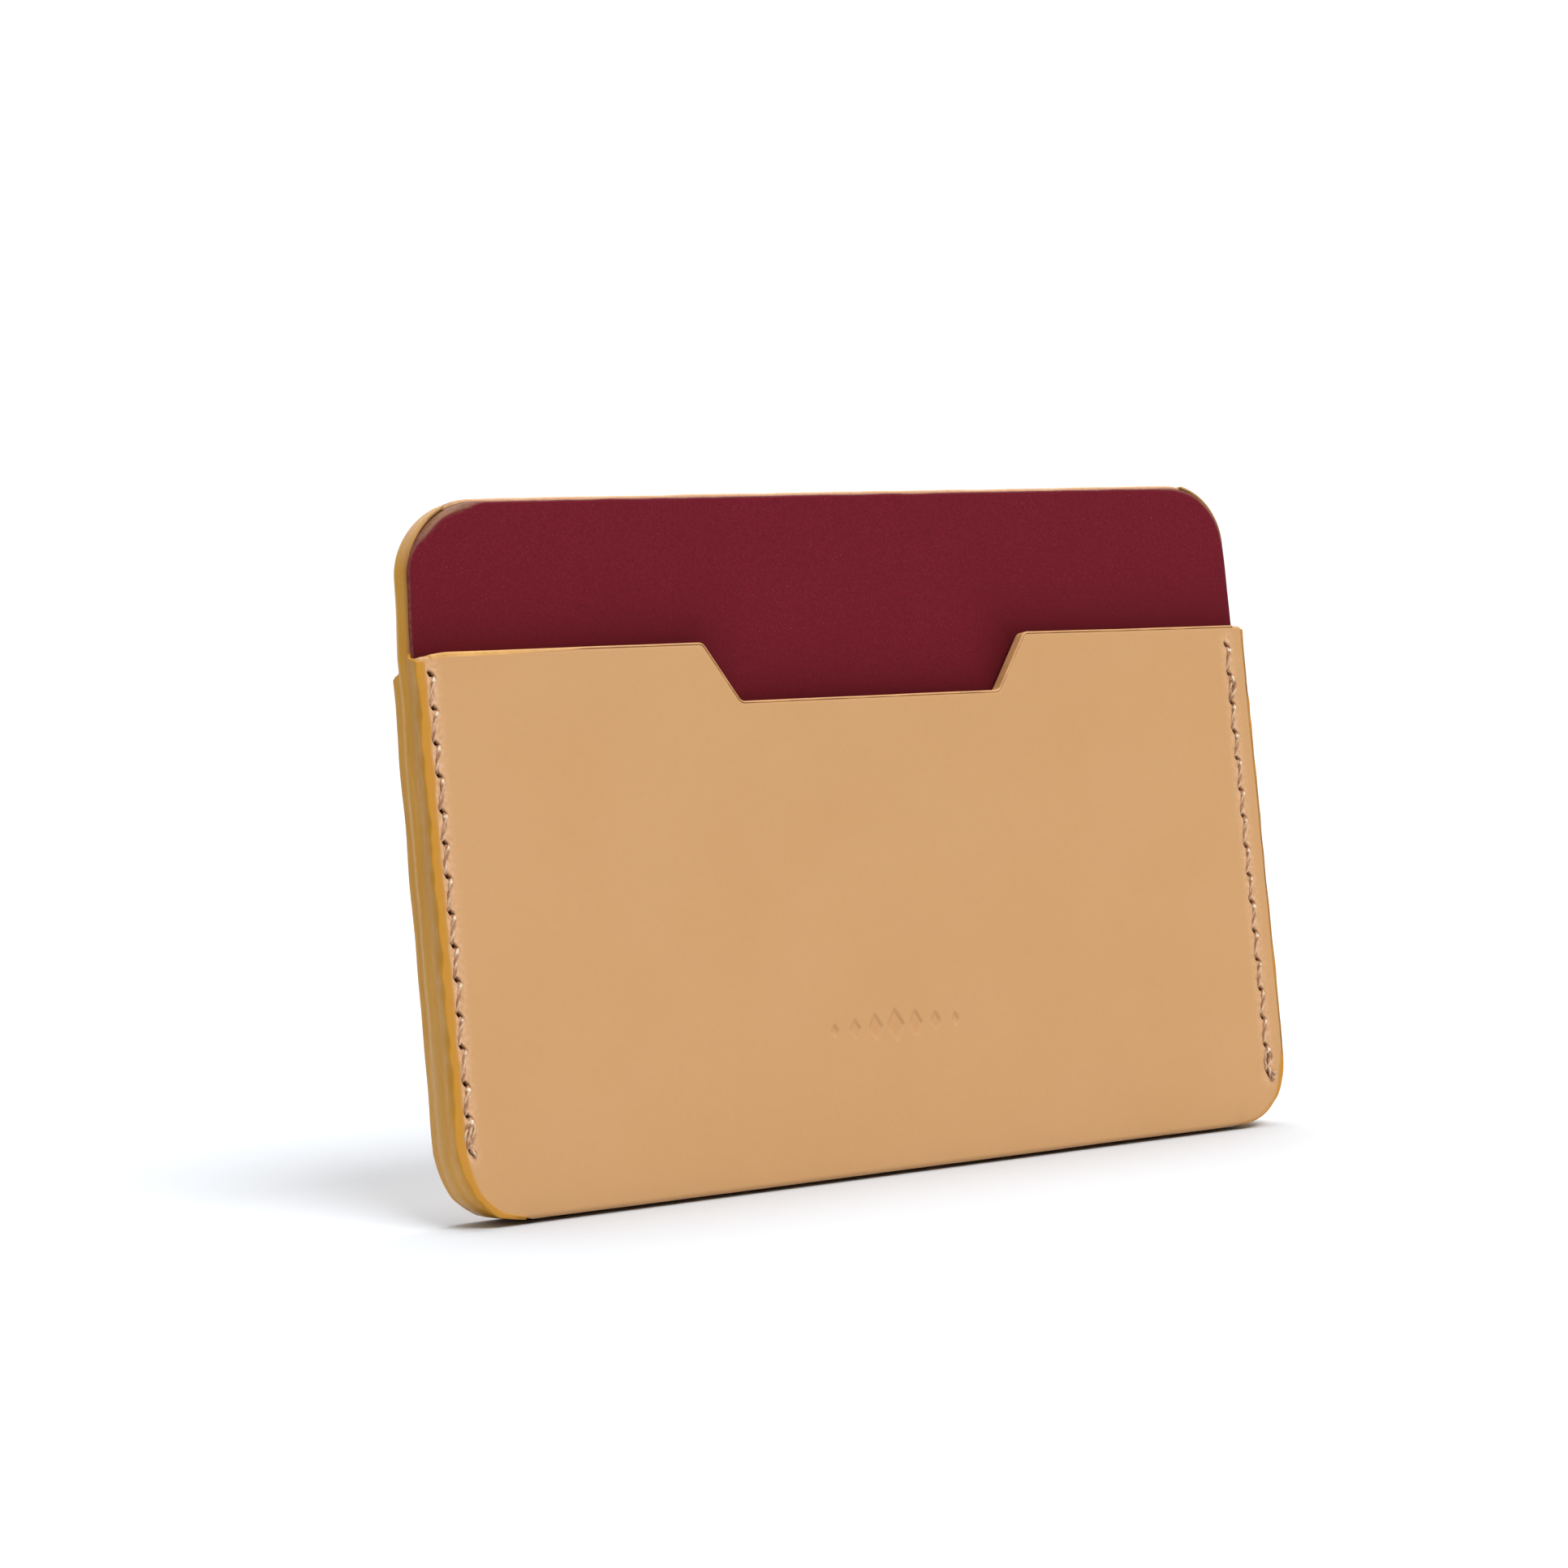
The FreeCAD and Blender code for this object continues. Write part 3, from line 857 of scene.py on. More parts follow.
def build_side_paint(name, node, side, strip_width, coat_side, ripple, seed):
    """Edge paint over the stack's side, its corner and the panel's edge above the pockets.

    strip_width(z, length, seed) is the lap onto the faces, coat_side the thickness on the side;
    ripple scales the coat's unevenness.
    """
    spots, normals = side_stations(side)
    length = lengths_along(spots)
    z = spots[:, 1]
    over_front = (z - mouth_z(spots[:, 0]) + 0.5) / 0.7
    over_back = (z - BACK_H + 0.45) / 0.7

    def front(px, pz):
        return ease(front_face(px, np.minimum(pz, FRONT_H)), Y_LINING + PAINT_BEHIND, over_front)

    def back(px, pz):
        return ease(back_face(px, np.minimum(pz, BACK_H)), Y_WALL, over_back)

    strip = strip_width(z, length, seed)
    fade = smooth(length / 9.0)
    settle = np.where(z < BOTTOM_R, smooth(np.abs(normals[:, 0]) / 0.6), 1.0)
    drop = 0.14 * bell(z, 47.2, 0.9) - 0.1 * bell(z, 49.5, 1.4)
    swell = 0.12 * streak(length, 2, 4.2, seed) + 0.12 * streak(length, 5, 1.9, seed) + drop
    wander = ripple * 0.15 * streak(length, 3, 9.0, seed)
    uneven = ripple * 0.05 * streak(length, 6, 6.0, seed)
    low = smooth((26 - z) / 16)

    def bulge(y):
        crown = 0.05 * np.sqrt(np.clip(1 - ((y - Y_MID) / STACK_HALF) ** 2, 0, 1))
        front_lean = ripple * swell * bell(y, Y_FRONT, 0.55)
        y = y - wander
        lining_joint = -0.07 * bell(y, Y_LINING + 0.5, 0.8)
        wall_joint = -0.08 * (1 - 0.7 * low) * bell(y, Y_WALL + 0.1, 0.5)
        ridge = 0.1 * ease(bell(y, Y_WALL - 0.75, 0.4), bell(y, Y_WALL - 1.2, 1.1), low)
        return (crown + front_lean + uneven + lining_joint + wall_joint + ridge) * fade * settle

    rings = coat_ribbon(
        spots, normals, front, back,
        ease(strip, PANEL_LAP, over_front), ease(strip * 0.9, 0.12, over_back),
        bulge, 0.05, (0.02 + (coat_side - 0.07) * fade) * settle,
    )
    on_panel = smooth((z - FRONT_H + 0.2) / 0.6) + smooth((z - PANEL_H[side] + 8.5) / 6.0)
    values = np.column_stack([
        np.clip((rings[:, :, 1].ravel() - Y_FRONT) / (Y_BACK - Y_FRONT), 0, 1),
        np.tile(ribbon_values(), (len(rings), 1)),
        np.repeat(on_panel / 2, rings.shape[1]),
    ])
    coat_piece(name, node, edge_paint(), rings, values, side == RIGHT)


def front_mouth_line():
    """The front mouth from left to right, with the notch and the dip at its worn corner."""
    end = MOUTH_COAT_HALF
    corners = [(-end, FRONT_H), *notch_points()[::-1], (end, FRONT_H)]
    below = [(end, FRONT_H - 20), (-end, FRONT_H - 20)]
    line = rounded(corners + below, [0, *[NOTCH_R] * 4, 0, 0, 0], 0.4)
    line = line[(np.abs(line[:, 0]) < end - 1e-6) & (line[:, 1] > FRONT_H - NOTCH_DEPTH - 0.01)]
    return np.column_stack([line[:, 0], line[:, 1] - (FRONT_H - mouth_z(line[:, 0]))])


def build_mouth_paint(name, node, line, front, back, lap_front, lap_back, seed):
    """Thin paint over a pocket's mouth; the laps are how far it runs down the two faces."""
    length = lengths_along(line)
    uneven = 0.015 * streak(length, 5, 7.0, seed)
    ripple = 0.07 * streak(length, 1, 2.6, seed)

    def bulge(y):
        return 0.03 + uneven

    rings = coat_ribbon(
        line, left_normals(line), front, back,
        np.maximum(0.08, lap_front(line[:, 0]) + ripple),
        np.maximum(0.08, lap_back(line[:, 0]) + ripple),
        bulge, 0.015, np.full(len(line), MOUTH_COAT - 0.1),
    )
    heavy = np.repeat(smooth((-line[:, 0] - 30) / 16), rings.shape[1])
    values = np.column_stack([heavy, np.tile(ribbon_values(), (len(rings), 1))])
    coat_piece(name, node, mouth_paint(), rings, values, True)


def build_mouth_paints():
    def front_inner(x, z):
        return front_face(x, z) + SHELL_T

    def back_inner(x, z):
        return back_face(x, z) - SHELL_T

    def thin(x):
        return np.full(len(x), 0.1)

    def left_lap(x):
        return 0.1 + 0.42 * smooth((-x - 30) / 16)

    build_mouth_paint(
        "front_mouth_edge_paint", "front_mouth_paint", front_mouth_line(),
        front_face, front_inner, left_lap, thin, 51,
    )
    xs = np.arange(-MOUTH_COAT_HALF, MOUTH_COAT_HALF, 0.5)
    build_mouth_paint(
        "back_mouth_edge_paint", "back_mouth_paint", np.column_stack([xs, np.full(len(xs), BACK_H)]),
        back_inner, back_face, thin, thin, 61,
    )


# ---------------------------------------------------------------- thread


def through(points, steps):
    """Smooth line through the points, as Catmull-Rom."""
    p = np.vstack([2 * points[0] - points[1], points, 2 * points[-1] - points[-2]])
    line = []
    for i in range(1, len(p) - 2):
        for k in range(steps):
            t = k / steps
            line.append(
                0.5 * (
                    2 * p[i]
                    + (p[i + 1] - p[i - 1]) * t
                    + (2 * p[i - 1] - 5 * p[i] + 4 * p[i + 1] - p[i + 2]) * t**2
                    + (3 * p[i] - p[i - 1] - 3 * p[i + 1] + p[i + 2]) * t**3
                )
            )
    line.append(p[-2])
    return np.array(line)


def turning_frames(line):
    """Two sideways directions at each point of a line, which turn with it."""
    along = np.gradient(line, axis=0)
    along /= np.linalg.norm(along, axis=1)[:, None]
    side = np.cross(along[0], (0.31, 0.9, 0.27))
    sides = []
    for ahead in along:
        side = side - ahead * (side @ ahead)
        side /= np.linalg.norm(side)
        sides.append(side)
    sides = np.array(sides)
    return sides, np.cross(along, sides)


def tube(line, radii, sides, pale, tone):
    """Closed tube along a line; returns verts, faces and each point's (pale, tone)."""
    across, up = turning_frames(line)
    turn = np.arange(sides) * 2 * math.pi / sides
    round_x = np.cos(turn)[None, :, None] * across[:, None, :]
    round_y = np.sin(turn)[None, :, None] * up[:, None, :]
    rings = line[:, None, :] + np.asarray(radii)[:, None, None] * (round_x + round_y)
    verts, faces = loft(list(rings))
    values = np.column_stack([np.repeat(pale, sides), np.full(len(line) * sides, tone)])
    return verts, faces, np.vstack([values, values[0], values[-1]])


def twisted(line, radius, pitch, phase, pale):
    """Two plies twisted round a line, one darker than the other."""
    length = lengths_along(line)
    sides, ups = turning_frames(line)
    ends = np.minimum(length, length[-1] - length)
    slim = 1 - 0.3 * smooth((0.3 - ends) / 0.3)
    parts = []
    for ply, tone in ((0, 0.25), (math.pi, 0.8)):
        turn = phase + ply + 2 * math.pi * length / pitch
        offset = np.cos(turn)[:, None] * sides + np.sin(turn)[:, None] * ups
        parts.append(tube(line + offset * radius * 0.42, radius * 0.58 * slim, 8, pale, tone))
    return parts


def stitch_line(top, bottom, face, height, sway):
    """Line of one stitch from the slit above to the slit below, on the front or back wall."""
    lean = SLIT_HALF * 0.8
    a = np.array([top[0] + SLIT[0] * lean, top[1] + SLIT[1] * lean])
    b = np.array([bottom[0] - SLIT[0] * lean, bottom[1] - SLIT[1] * lean])
    run = b - a
    lift = height if face > 0 else height - 0.12
    spots = [
        (a, 0.75),
        (a + run * 0.01, 0.25),
        (a + run * 0.09, 0.0 - lift),
        (a + run * 0.28 + (sway, 0), 0.03 - lift),
        (a + run * 0.55 + (sway * 1.3, 0), 0.06 - lift),
        (a + run * 0.82 + (sway * 0.6, 0), 0.05 - lift),
        (a + run * 0.96, 0.16),
        (b, 0.4),
        (b - run * 0.01, 0.85),
    ]
    flat = np.array([s[0] for s in spots])
    depth = np.array([s[1] for s in spots])
    return on_wall(flat, depth, face)


def on_wall(flat, depth, face):
    """Points (x, z) at a depth under the front (+1) or back (-1) wall's plain surface."""
    points = np.column_stack([flat[:, 0], face * unrolled(flat[:, 1])])
    return place_shell(points, depth)


def hairs(anchors, dice, count, face, long=0.75):
    """Fine fibres that stand out from the thread; on the back they lie flat."""
    stand = 0.45 if face > 0 else 0.02
    parts = []
    for _ in range(count):
        root = anchors[dice.randrange(len(anchors))]
        turn = dice.uniform(0, 2 * math.pi)
        reach = dice.uniform(0.3, 1.0) * long
        away = np.array([math.cos(turn) * 0.8, -face * dice.uniform(0, stand), math.sin(turn)])
        curl = np.array([dice.uniform(-1, 1), -face * stand * 0.2, dice.uniform(-1, 1)]) * 0.35
        ts = np.linspace(0, 1, 6)[:, None]
        line = root + (away * ts + curl * ts**2) * reach
        radii = HAIR_R * (1 - 0.6 * ts[:, 0])
        pale = np.full(6, dice.uniform(0.1, 0.6))
        parts.append(tube(line, radii, 3, pale, dice.uniform(0.2, 1.0)))
    return parts


def build_thread(name, node, seam):
    """All the stitches of one seam, front and back, twisted from two plies."""
    holes = HOLES[seam["x"]]
    dice = random.Random(seam["seed"] + 40)
    left = seam["x"] < 0
    parts = []
    for face in (1, -1):
        for i in range(len(holes) - 1):
            lowest = i == 0
            crossed = not left and i == len(holes) - 3
            strands = [(0.0, 0.0, 1.0)]
            if lowest:
                strands = [(-0.3, 0.0, 1.0), (0.3, 0.02, 1.0), (0.02, 0.14, 0.95)]
            if crossed:
                strands = [(-0.12, 0.0, 1.0), (0.26, 0.14, 1.2)]
            anchors = []
            for offset, height, scale in strands:
                sway = offset + dice.uniform(-0.09, 0.09)
                spots = stitch_line(holes[i + 1], holes[i], face, height * max(face, 0), sway)
                line = through(spots, 6)
                share = np.linspace(0, 1, len(line))
                # painted highlight: a cream patch where the thread bends up out of its hole
                pale = 0.95 * bell(share, 0.26, 0.05)
                pale += 0.25 * noise.noise(Vector((i * 2.3, offset, 0.5))) + 0.1 * np.sin(share * 9 + i)
                radius = THREAD_R * scale * dice.uniform(0.86, 1.08)
                turn = dice.uniform(0, 2 * math.pi)
                parts += twisted(line, radius, dice.uniform(1.5, 2.3), turn, np.clip(pale, 0, 1))
                anchors += list(line[10:-10])
            parts += hairs(anchors, dice, 34 if lowest or crossed else 10, face)
    parts += tails(holes, left, dice)
    verts, faces, values = join_parts(parts)
    make_piece(name, node, waxed_thread(), verts, faces, np.clip(values, 0, 1))


def tails(holes, left, dice):
    """The cut ends at the bottom of a seam: a stub on the left, a crossed pair on the right."""
    x, z = holes[0]
    if left:
        ends = [((-0.1, 0.3), (0.1, -0.15), (0.45, -0.45))]
    else:
        ends = [
            ((-0.2, 0.8), (0.0, 0.25), (0.42, -0.05), (0.85, -0.12)),
            ((0.1, 0.5), (0.05, 0.0), (0.22, -0.45), (0.6, -0.68)),
        ]
    parts = []
    for route in ends:
        flat = np.array([(x + dx, z + dz) for dx, dz in route])
        depth = np.linspace(-0.05, -0.22, len(flat))
        line = through(on_wall(flat, depth, 1), 8)
        pale = np.linspace(0.1, 0.45, len(line))
        parts += twisted(line, THREAD_R * 0.9, 1.3, dice.uniform(0, 6), pale)
        parts += hairs(list(line[-6:]), dice, 18, 1, long=0.5)
    return parts


# ---------------------------------------------------------------- materials


def add_node(tree, kind, inputs, output, **settings):
    """Adds a shader node, links or sets its inputs, and returns one of its outputs."""
    node = tree.nodes.new("ShaderNode" + kind)
    for key, value in settings.items():
        setattr(node, key, value)
    for key, value in inputs.items():
        if isinstance(value, bpy.types.NodeSocket):
            tree.links.new(value, node.inputs[key])
        else:
            node.inputs[key].default_value = value
    return node.outputs[output]


def linear(colour):
    """Opaque linear colour of an sRGB one from 0 to 255; sockets and four numbers stay as they are."""
    def lift(v):
        v /= 255
        return v / 12.92 if v <= 0.04045 else ((v + 0.055) / 1.055) ** 2.4

    if isinstance(colour, tuple) and len(colour) == 3:
        return (*map(lift, colour), 1)
    return colour


class Shader:
    """A node material with one Principled shader, which can read the piece's marks."""

    def __init__(self, name):
        self.material = bpy.data.materials.new(name)
        self.material.use_nodes = True
        self.tree = self.material.node_tree
        self.surface = self.tree.nodes["Principled BSDF"]
        self.place = self.node("TexCoord", {}, "Object")
        attribute = self.tree.nodes.new("ShaderNodeAttribute")
        attribute.attribute_name = "marks"
        split = self.tree.nodes.new("ShaderNodeSeparateColor")
        self.tree.links.new(attribute.outputs["Color"], split.inputs["Color"])
        self.marks = [*split.outputs, attribute.outputs["Alpha"]]

    def node(self, kind, inputs, output, **settings):
        return add_node(self.tree, kind, inputs, output, **settings)

    def noise(self, size, detail=2.0, rough=0.5, stretch=None):
        """Noise with features of about the given size in millimetres, 0 to 1."""
        place = self.place
        if stretch:
            place = self.node("Mapping", {"Vector": place, "Scale": stretch}, "Vector")
        inputs = {"Vector": place, "Scale": 1 / (size * MM), "Detail": detail, "Roughness": rough}
        return self.node("TexNoise", inputs, "Fac")

    def cells(self, size):
        """Distance from the middle of the nearest cell, for cells of about the given size."""
        return self.node("TexVoronoi", {"Vector": self.place, "Scale": 1 / (size * MM)}, "Distance")

    def ramp(self, source, low, high, to_low=0.0, to_high=1.0):
        """Source from low to high becomes to_low to to_high, clamped."""
        ends = {"From Min": low, "From Max": high, "To Min": to_low, "To Max": to_high}
        return self.node("MapRange", {"Value": source, **ends}, "Result")

    def math(self, kind, a, b):
        return self.node("Math", {0: a, 1: b}, 0, operation=kind)

    def mix(self, factor, a, b):
        """Colour a to b by factor; each is a colour or a socket."""
        return self.node("Mix", {0: factor, 6: linear(a), 7: linear(b)}, 2, data_type="RGBA")

    def base(self, factor, a, b):
        """The lowest layer of colour."""
        self.colour = self.mix(factor, a, b)

    def layer(self, factor, colour):
        """Lays a colour over what is there."""
        self.colour = self.mix(factor, self.colour, colour)

    def bump(self, height, distance, strength):
        """Adds a bump layer; distance in millimetres."""
        normal = self.surface.inputs["Normal"]
        inputs = {"Height": height, "Distance": distance * MM, "Strength": strength}
        if normal.is_linked:
            inputs["Normal"] = normal.links[0].from_socket
        self.tree.links.new(self.node("Bump", inputs, "Normal"), normal)

    def finish(self, roughness, specular):
        """Gives the surface its colour, roughness (a value or a socket) and specular level."""
        self.tree.links.new(self.colour, self.surface.inputs["Base Color"])
        if isinstance(roughness, bpy.types.NodeSocket):
            self.tree.links.new(roughness, self.surface.inputs["Roughness"])
        else:
            self.surface.inputs["Roughness"].default_value = roughness
        self.surface.inputs["Specular IOR Level"].default_value = specular
        return self.material


def tan_leather():
    """Smooth vegetable-tanned leather: even colour, fine pores, painted shade in the slits, pinkish
    puckers.
    """
    look = Shader("tan_leather")
    clouds = look.ramp(look.noise(14, 3), 0.35, 0.65)
    look.base(clouds, (192, 146, 96), (194, 148, 99))
    mottle = look.ramp(look.noise(0.9, 4, 0.6), 0.3, 0.75, 0.0, 0.14)
    look.layer(mottle, (186, 136, 90))
    pores = look.ramp(look.cells(0.42), 0.0, 0.22, 0.22, 0.0)
    look.layer(pores, (176, 124, 80))
    halo = look.math("MULTIPLY", look.marks[1], look.ramp(look.noise(0.5, 4), 0.35, 0.65, 0.1, 0.8))
    look.layer(halo, (222, 178, 144))
    deboss = look.math("MULTIPLY", look.marks[2], 0.35)
    look.layer(deboss, (192, 141, 92))
    # painted shade inside the awl slits
    look.layer(look.marks[0], (100, 54, 33))
    fibres = look.ramp(look.noise(0.35, 5, 0.7), 0.3, 0.7)
    flesh = look.mix(fibres, (196, 152, 108), (222, 182, 140))
    look.layer(look.marks[3], flesh)
    look.bump(look.cells(0.42), 0.012, 0.5)
    look.bump(look.noise(0.16, 4, 0.65), 0.01, 0.6)
    nap = look.math("MULTIPLY", look.noise(0.12, 5, 0.7), look.marks[3])
    look.bump(nap, 0.12, 0.7)
    roughness = look.ramp(look.noise(0.6, 4), 0.3, 0.7, 0.5, 0.66)
    return look.finish(roughness, 0.35)


def burgundy_leather():
    """Dyed lining with a fine matt grain; burnished brown where its rim is cut."""
    look = Shader("burgundy_leather")
    grain = look.noise(0.3, 4, 0.7)
    look.base(look.ramp(grain, 0.3, 0.7), (90, 9, 23), (113, 19, 37))
    clouds = look.ramp(look.noise(7, 3), 0.35, 0.65, 0.0, 0.3)
    look.layer(clouds, (98, 12, 28))
    specks = look.ramp(look.noise(0.2, 2, 0.5), 0.64, 0.76, 0.0, 0.4)
    look.layer(specks, (150, 70, 76))
    # painted shade on the lining just above the front mouth, fading upwards
    look.layer(look.marks[2], (80, 4, 14))
    worn = look.mix(look.ramp(look.noise(0.5, 4), 0.35, 0.65), (98, 46, 42), (124, 68, 58))
    tawny = look.mix(look.ramp(look.noise(1.4, 3), 0.35, 0.65), (108, 68, 50), (136, 92, 66))
    worn = look.mix(look.marks[1], worn, tawny)
    look.layer(look.marks[0], worn)
    look.bump(look.noise(0.26, 4, 0.7), 0.05, 0.6)
    look.bump(look.cells(0.5), 0.03, 0.35)
    scratched = look.math("MULTIPLY", look.noise(0.7, 3), look.marks[1])
    look.bump(scratched, 0.1, 0.5)
    roughness = look.ramp(look.marks[0], 0, 1, 0.78, 0.38)
    return look.finish(roughness, 0.15)


def core_leather():
    """The thick middle ply: pale cut edge, burnished and a little glossy."""
    look = Shader("core_leather")
    fibres = look.noise(0.35, 5, 0.65, stretch=(1, 2.5, 1))
    look.base(look.ramp(fibres, 0.3, 0.7), (208, 158, 118), (226, 180, 142))
    dark = look.mix(look.ramp(look.noise(0.9, 4), 0.35, 0.65), (150, 106, 64), (190, 146, 100))
    look.layer(look.marks[1], dark)
    look.bump(fibres, 0.03, 0.6)
    roughness = look.ramp(look.noise(0.7, 3), 0.3, 0.7, 0.4, 0.6)
    return look.finish(roughness, 0.3)


def edge_paint():
    """Satin ochre edge paint, thick and slightly streaky, thinning out on the panel's corners, with a
    painted highlight and painted shade down the side.
    """
    look = Shader("edge_paint")
    across, on_face, thin, panel = look.marks
    streaks = look.noise(1.6, 4, 0.6, stretch=(1, 1.6, 0.3))
    look.base(look.ramp(streaks, 0.35, 0.68), (197, 136, 17), (206, 147, 30))
    # Painted highlight: a pale band down the side face, higher and narrower towards the top, with
    # painted olive shade on either side of it.
    up = look.node("SeparateXYZ", {"Vector": look.place}, "Z")
    wavy = look.math("ADD", across, look.ramp(look.noise(7, 3), 0, 1, -0.09, 0.09))
    ridge = look.ramp(up, 0.012, 0.03, 0.56, 0.67)
    gap = look.math("ABSOLUTE", look.math("SUBTRACT", wavy, ridge), 0)
    reach = look.ramp(up, 0.012, 0.034, 0.26, 0.13)
    painted_highlight_band = look.math("SUBTRACT", 1.0, look.math("DIVIDE", gap, reach))
    side = look.math("SUBTRACT", 1.0, on_face)
    pale = look.math("MULTIPLY", look.ramp(painted_highlight_band, 0, 1, 0, 0.45), side)
    painted_olive_shade = look.math("MULTIPLY", look.ramp(painted_highlight_band, 0, -2, 0, 0.45), side)
    look.layer(pale, (196, 152, 86))
    look.layer(painted_olive_shade, (164, 112, 24))
    patches = look.ramp(look.noise(3.2, 3, 0.55, stretch=(1, 1.2, 0.3)), 0.5, 0.72, 0.0, 0.3)
    look.layer(patches, (172, 126, 40))
    dust = look.ramp(look.noise(0.3, 4, 0.7), 0.58, 0.8, 0.0, 0.25)
    look.layer(dust, (170, 110, 30))
    vivid = look.math("MULTIPLY", look.ramp(panel, 0.3, 0.05), on_face)
    look.layer(vivid, (187, 131, 50))
    look.layer(look.ramp(thin, 0.1, 0.95), (192, 146, 92))
    burnt = look.math("MULTIPLY", look.ramp(panel, 0.2, 0.45), on_face)
    look.layer(burnt, (132, 86, 56))
    look.layer(look.ramp(panel, 0.55, 0.95, 0.0, 0.85), (184, 140, 84))
    look.bump(look.noise(0.9, 3, stretch=(1, 1, 0.5)), 0.08, 0.5)
    look.bump(look.noise(0.15, 4, 0.6), 0.012, 0.5)
    roughness = look.ramp(look.noise(0.8, 4), 0.3, 0.7, 0.3, 0.46)
    return look.finish(roughness, 0.2)


def mouth_paint():
    """The paint rubbed thin over the mouths, heavier and yellower towards the left."""
    look = Shader("mouth_paint")
    heavy, on_face, thin, _ = look.marks
    streaks = look.noise(1.2, 4, 0.6)
    look.base(look.ramp(streaks, 0.35, 0.68), (200, 150, 98), (208, 158, 106))
    heavier = look.mix(look.ramp(streaks, 0.35, 0.68), (208, 156, 84), (218, 170, 100))
    look.layer(heavy, heavier)
    rubbed = look.ramp(look.noise(2.6, 4, 0.6), 0.45, 0.7, 0.0, 0.5)
    look.layer(rubbed, (186, 134, 84))
    look.layer(look.ramp(thin, 0.1, 0.95), (209, 158, 106))
    look.bump(look.noise(0.6, 3), 0.04, 0.5)
    roughness = look.ramp(look.noise(0.8, 4), 0.3, 0.7, 0.42, 0.6)
    return look.finish(roughness, 0.35)


def waxed_thread():
    """Two-ply linen: a painted cream highlight where it comes out of a hole, beige and reddish brown
    along the stitch.
    """
    look = Shader("waxed_thread")
    pale, tone = look.marks[0], look.marks[1]
    fibre = look.noise(0.09, 4, 0.7, stretch=(1, 1, 0.25))
    fine = look.ramp(fibre, 0.3, 0.7)
    brown = look.mix(fine, (136, 88, 60), (180, 134, 100))
    beige = look.mix(fine, (178, 138, 102), (230, 198, 162))
    patchy = look.math("ADD", tone, look.ramp(look.noise(0.7, 3), 0.3, 0.7, -0.3, 0.3))
    look.base(look.ramp(patchy, 0.2, 0.8), brown, beige)
    # the cream layer: a painted highlight where the thread leaves each hole, and paler fibres on the
    # hairs and cut ends
    cream = look.mix(look.ramp(fibre, 0.35, 0.65), (206, 178, 140), (250, 238, 214))
    look.layer(look.ramp(pale, 0.25, 0.9), cream)
    look.bump(fibre, 0.05, 0.8)
    roughness = look.ramp(fibre, 0.3, 0.7, 0.45, 0.7)
    return look.finish(roughness, 0.4)


def floor_material():
    look = Shader("pale_floor")
    clouds = look.ramp(look.noise(60, 3), 0.3, 0.7)
    look.base(clouds, (0.6, 0.625, 0.655, 1), (0.62, 0.645, 0.675, 1))      # already linear
    return look.finish(0.8, 0.1)


# ---------------------------------------------------------------- stage


LEAN = math.radians(5)      # the holder leans back on the floor, so the floor tilts in its frame
FLOOR_HALF = 2.0            # in metres
FLOOR_GAP = 0.00002


def build_floor():
    size = FLOOR_HALF
    overhang = (Y_BACK - CREASE_R) * math.sin(LEAN) + CREASE_R * (1 - math.cos(LEAN))
    drop = overhang * MM / math.cos(LEAN) + FLOOR_GAP
    corners = [(-size, -size), (size, -size), (size, size), (-size, size)]
    verts = [(x, y * math.cos(LEAN), y * math.sin(LEAN) - drop) for x, y in corners]
    mesh = bpy.data.meshes.new("floor")
    mesh.from_pydata(verts, [], [(0, 1, 2, 3)])
    mesh.materials.append(floor_material())
    floor = bpy.data.objects.new("floor", mesh)
    bpy.context.scene.collection.objects.link(floor)


# Each soft lamp: where it stands, strength, and angular size in degrees
LAMPS = {
    "overhead": ((0.08, 0.06, 0.99), 1.72, 36),
    "key": ((0.11, -0.7, 0.705), 3.0, 32),
}

# The studio's own light: white behind and to the right, dimmer to the left, and nearly dark
# in front, where the key lamp stands in for it. The camera sees it white all round.
SKY_RIGHT = 1.1
SKY_LEFT = 0.7
SKY_BEHIND = 1.0
SKY_FRONT = 0.13


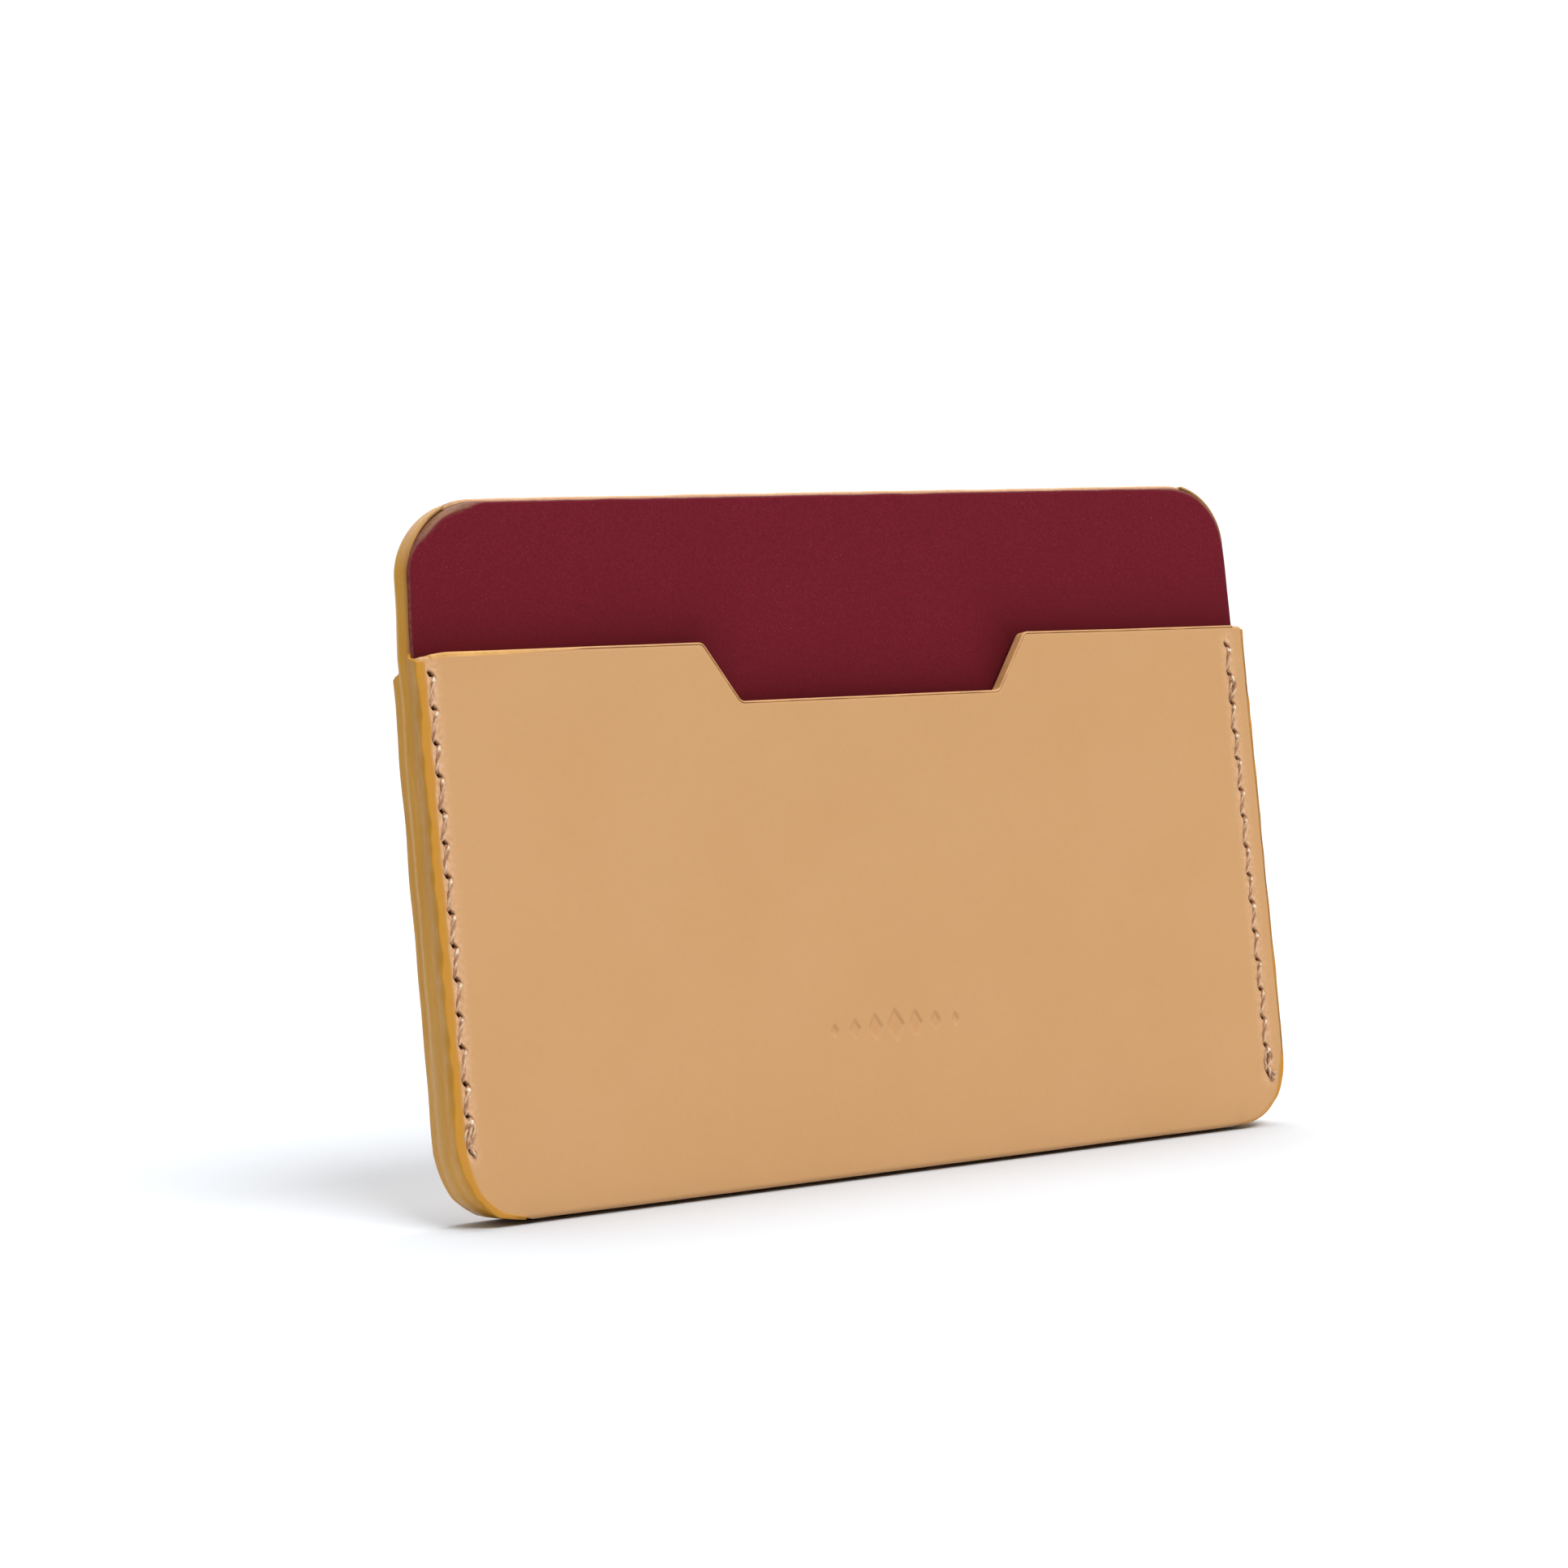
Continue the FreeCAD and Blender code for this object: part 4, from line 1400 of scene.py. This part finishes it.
def build_studio():
    world = bpy.data.worlds.new("studio")
    world.use_nodes = True
    tree = world.node_tree
    place = add_node(tree, "TexCoord", {}, "Generated")

    def level(axis, start, end, low, high):
        ends = {"From Min": start, "From Max": end, "To Min": low, "To Max": high}
        along = add_node(tree, "SeparateXYZ", {"Vector": place}, axis)
        ramp = {"Value": along, **ends}
        return add_node(tree, "MapRange", ramp, "Result", interpolation_type="SMOOTHSTEP")

    sides = level("X", -0.55, 0.25, SKY_LEFT, SKY_RIGHT)
    depth = level("Y", -0.2, 0.2, SKY_FRONT, SKY_BEHIND)
    light = add_node(tree, "Math", {0: sides, 1: depth}, 0, operation="MULTIPLY")
    camera = add_node(tree, "LightPath", {}, "Is Camera Ray")
    seen = add_node(tree, "Math", {0: light, 1: camera}, 0, operation="MAXIMUM")
    backdrop = tree.nodes["Background"]
    backdrop.inputs["Color"].default_value = (1, 1, 1, 1)
    tree.links.new(seen, backdrop.inputs["Strength"])
    bpy.context.scene.world = world
    bpy.context.scene.view_settings.view_transform = "Standard"


def build_lamps():
    for name, (source, strength, size) in LAMPS.items():
        data = bpy.data.lights.new(name, "SUN")
        data.energy = strength
        data.angle = math.radians(size)
        lamp = bpy.data.objects.new(name, data)
        lamp.rotation_euler = Vector(source).to_track_quat("Z", "Y").to_euler()
        bpy.context.scene.collection.objects.link(lamp)


CAMERA_AT = (-0.18134, -0.29171, 0.02315)      # in metres, like the rest of the stage
CAMERA_TURN = (93.076, 5.206, -30.230)         # in degrees, about X, Y and Z
CAMERA_LENS = 74.53


def build_camera():
    data = bpy.data.cameras.new("camera")
    data.sensor_width = 36
    data.lens = CAMERA_LENS
    data.clip_start = 0.01
    camera = bpy.data.objects.new("camera", data)
    camera.location = CAMERA_AT
    camera.rotation_euler = [math.radians(a) for a in CAMERA_TURN]
    bpy.context.scene.collection.objects.link(camera)
    bpy.context.scene.camera = camera


# ---------------------------------------------------------------- the whole object


build_camera()
build_studio()
build_lamps()
build_floor()
build_shell()
build_lining()
build_core()
build_side_paint("left_side_edge_paint", "left_edge_paint", LEFT, left_strip, COAT, 1.5, 5)
build_side_paint("right_side_edge_paint", "right_edge_paint", RIGHT, right_strip, COAT / 2, 0.45, 9)
build_mouth_paints()
build_thread("left_seam_stitching", "left_seam_thread", LEFT_SEAM)
build_thread("right_seam_stitching", "right_seam_thread", RIGHT_SEAM)
